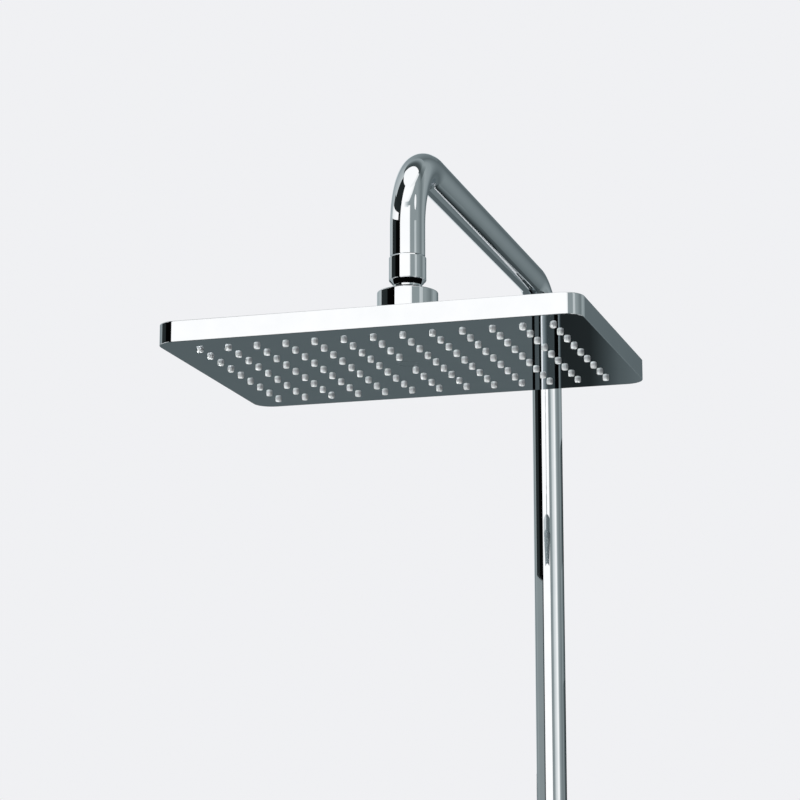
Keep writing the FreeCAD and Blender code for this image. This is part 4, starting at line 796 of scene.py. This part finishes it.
CEILING = DOME_CENTRE + Vector((0, 0, 10))
CEILING_WIDTH = 12
SHEET_RADIUS = 4.9
SHEET_SHIFT = -0.4
SHEET_REAR = 1.7
GAP_REAR = 3.0
FADE_REAR = 4.8
GREY_REAR = 6.0
overhead = bmesh.new()
bmesh.ops.create_circle(overhead, cap_ends=True, segments=ROUND_STEPS, radius=SHEET_RADIUS,
                        matrix=Matrix.Translation((SHEET_SHIFT, 0, 0)))
bmesh.ops.bisect_plane(overhead, geom=overhead.verts[:] + overhead.edges[:] + overhead.faces[:],
                       plane_co=(0, SHEET_REAR, 0), plane_no=(0, 1, 0), clear_outer=True)
paint(overhead, (252, 252))
bmesh.ops.translate(overhead, verts=overhead.verts, vec=CEILING)
hang(overhead, "overhead sheet", glow)
for name, near_edge, far_edge, tones in (("overhead gap", SHEET_REAR, GAP_REAR, (68, 78)),
                                         ("overhead fade", GAP_REAR, FADE_REAR, (78, 142)),
                                         ("overhead grey", FADE_REAR, GREY_REAR, (142, 150))):
    corner = CEILING + Vector((-CEILING_WIDTH / 2, near_edge, 0))
    strip(name, glow, corner, (0, far_edge - near_edge, 0), (CEILING_WIDTH, 0, 0), tones)
print("one sheet and three strips overhead")

# %% [markdown]
# The riser stands so close to the wall that its own soft shadow shows beside it, in the riser and in the
# underside of the head. Two upright strips on the wall's plane carry it, a dark middle and a fade to the
# right. Two short ones in front of them, at the height that the head mirrors, fade sooner, because the
# lamps shine in under the head. They too are seen only in reflections.

# %% Shadow on the wall
STRIP_FOOT = 580 * MM
STRIP_RISE = 322 * MM
HEAD_STRIP_FOOT = 716 * MM
HEAD_STRIP_RISE = 90 * MM
# Each strip: left and right edge in millimetres, tones at both
WALL_STRIPS = {
    "shadow middle": (-5, 22, (34, 38)),
    "shadow fade": (22, 110, (38, 128)),
}
HEAD_STRIPS = {
    "head shadow edge": (20, 42, (38, 84)),
    "head shadow fade": (42, 110, (84, 150)),
}
for strips, front, foot, rise in ((WALL_STRIPS, 0, STRIP_FOOT, STRIP_RISE),
                                  (HEAD_STRIPS, -MM, HEAD_STRIP_FOOT, HEAD_STRIP_RISE)):
    for name, (left, right, tones) in strips.items():
        strip(name, glow, (left * MM, front, foot), ((right - left) * MM, 0, 0), (0, 0, rise), tones)
    print(len(strips), "strips on the wall")

# %% [markdown]
# The nut's top is a white ring when the overhead sheet shines on it, and the ball's neck would drown in
# it. A ring of black paper hung just above the nut, seen only in reflections, paints a dark reflection
# into the neck and keeps it dark and crisp.

# %% Paper ring: a painted dark reflection
PAPER_INNER = 9.7 * MM
PAPER_MARGIN = 0.8 * MM
PAPER_LIFT = 0.1 * MM
nut_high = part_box("retaining_nut")[1]
paper = bmesh.new()
inner_spot = paper.verts.new((PAPER_INNER, 0, 0))
outer_spot = paper.verts.new((nut_high.x - PAPER_MARGIN, 0, 0))
paper_edge = paper.edges.new((inner_spot, outer_spot))
bmesh.ops.spin(paper, geom=[inner_spot, outer_spot, paper_edge], cent=(0, 0, 0), axis=(0, 0, 1),
               angle=2 * math.pi, steps=64, dvec=(0, 0, 0), use_merge=True)
bmesh.ops.translate(paper, verts=paper.verts, vec=(0, DROP_LINE, nut_high.z + PAPER_LIFT))
# Nearly black and seen only in reflections: a painted dark reflection on the ball's neck
paint(paper, (4, 4))
hang(paper, "paper ring", glow)
print("paper ring hung")

# %% [markdown]
# The matt pieces need real light. Soft panels give it: a key low at the front left, which reaches in
# under the head, a weak fill at the front right and a panel overhead. Reflections don't see them,
# because the cards already stand for them.

# %% Lamps


def panel(name, place, aim, size, power):
    """Hang a soft square lamp that looks at a point."""
    data = bpy.data.lights.new(name, "AREA")
    data.shape = "SQUARE"
    data.size = size
    data.energy = power
    lamp = bpy.data.objects.new(name, data)
    lamp.location = place
    lamp.rotation_mode = "QUATERNION"
    lamp.rotation_quaternion = (Vector(aim) - Vector(place)).to_track_quat("-Z", "Y")
    lamp.visible_glossy = False
    lamp.visible_camera = False
    bpy.context.scene.collection.objects.link(lamp)


panel("key panel", (-1.35, -1.6, -0.65), (0, -0.4, 0.8), 0.7, 60)
panel("fill panel", (1.8, -1.8, 0.9), (0, -0.3, 0.6), 1.2, 8)
panel("top panel", (0, -0.6, 2.8), (0, -0.3, 0.5), 1.8, 24)
print("three lamps")

# %% [markdown]
# The photograph looks up at the head from its right with a long lens. The camera's place and lens were
# solved from the corners of the plate, the grid of nozzles and the two tubes.

# %% Camera
CAMERA_PLACE = (0.4450, -1.9477, 0.4938)
CAMERA_AIM = Vector((-0.2786, 0.9361, 0.2147))
camera_data = bpy.data.cameras.new("camera")
camera_data.lens = 118.395
camera_data.sensor_width = 36
camera_data.clip_end = 50
camera = bpy.data.objects.new("camera", camera_data)
camera.location = CAMERA_PLACE
camera.rotation_mode = "QUATERNION"
camera.rotation_quaternion = CAMERA_AIM.to_track_quat("-Z", "Y")
bpy.context.scene.collection.objects.link(camera)
bpy.context.scene.camera = camera
bpy.context.scene.view_settings.view_transform = "Standard"
print("camera at", CAMERA_PLACE)
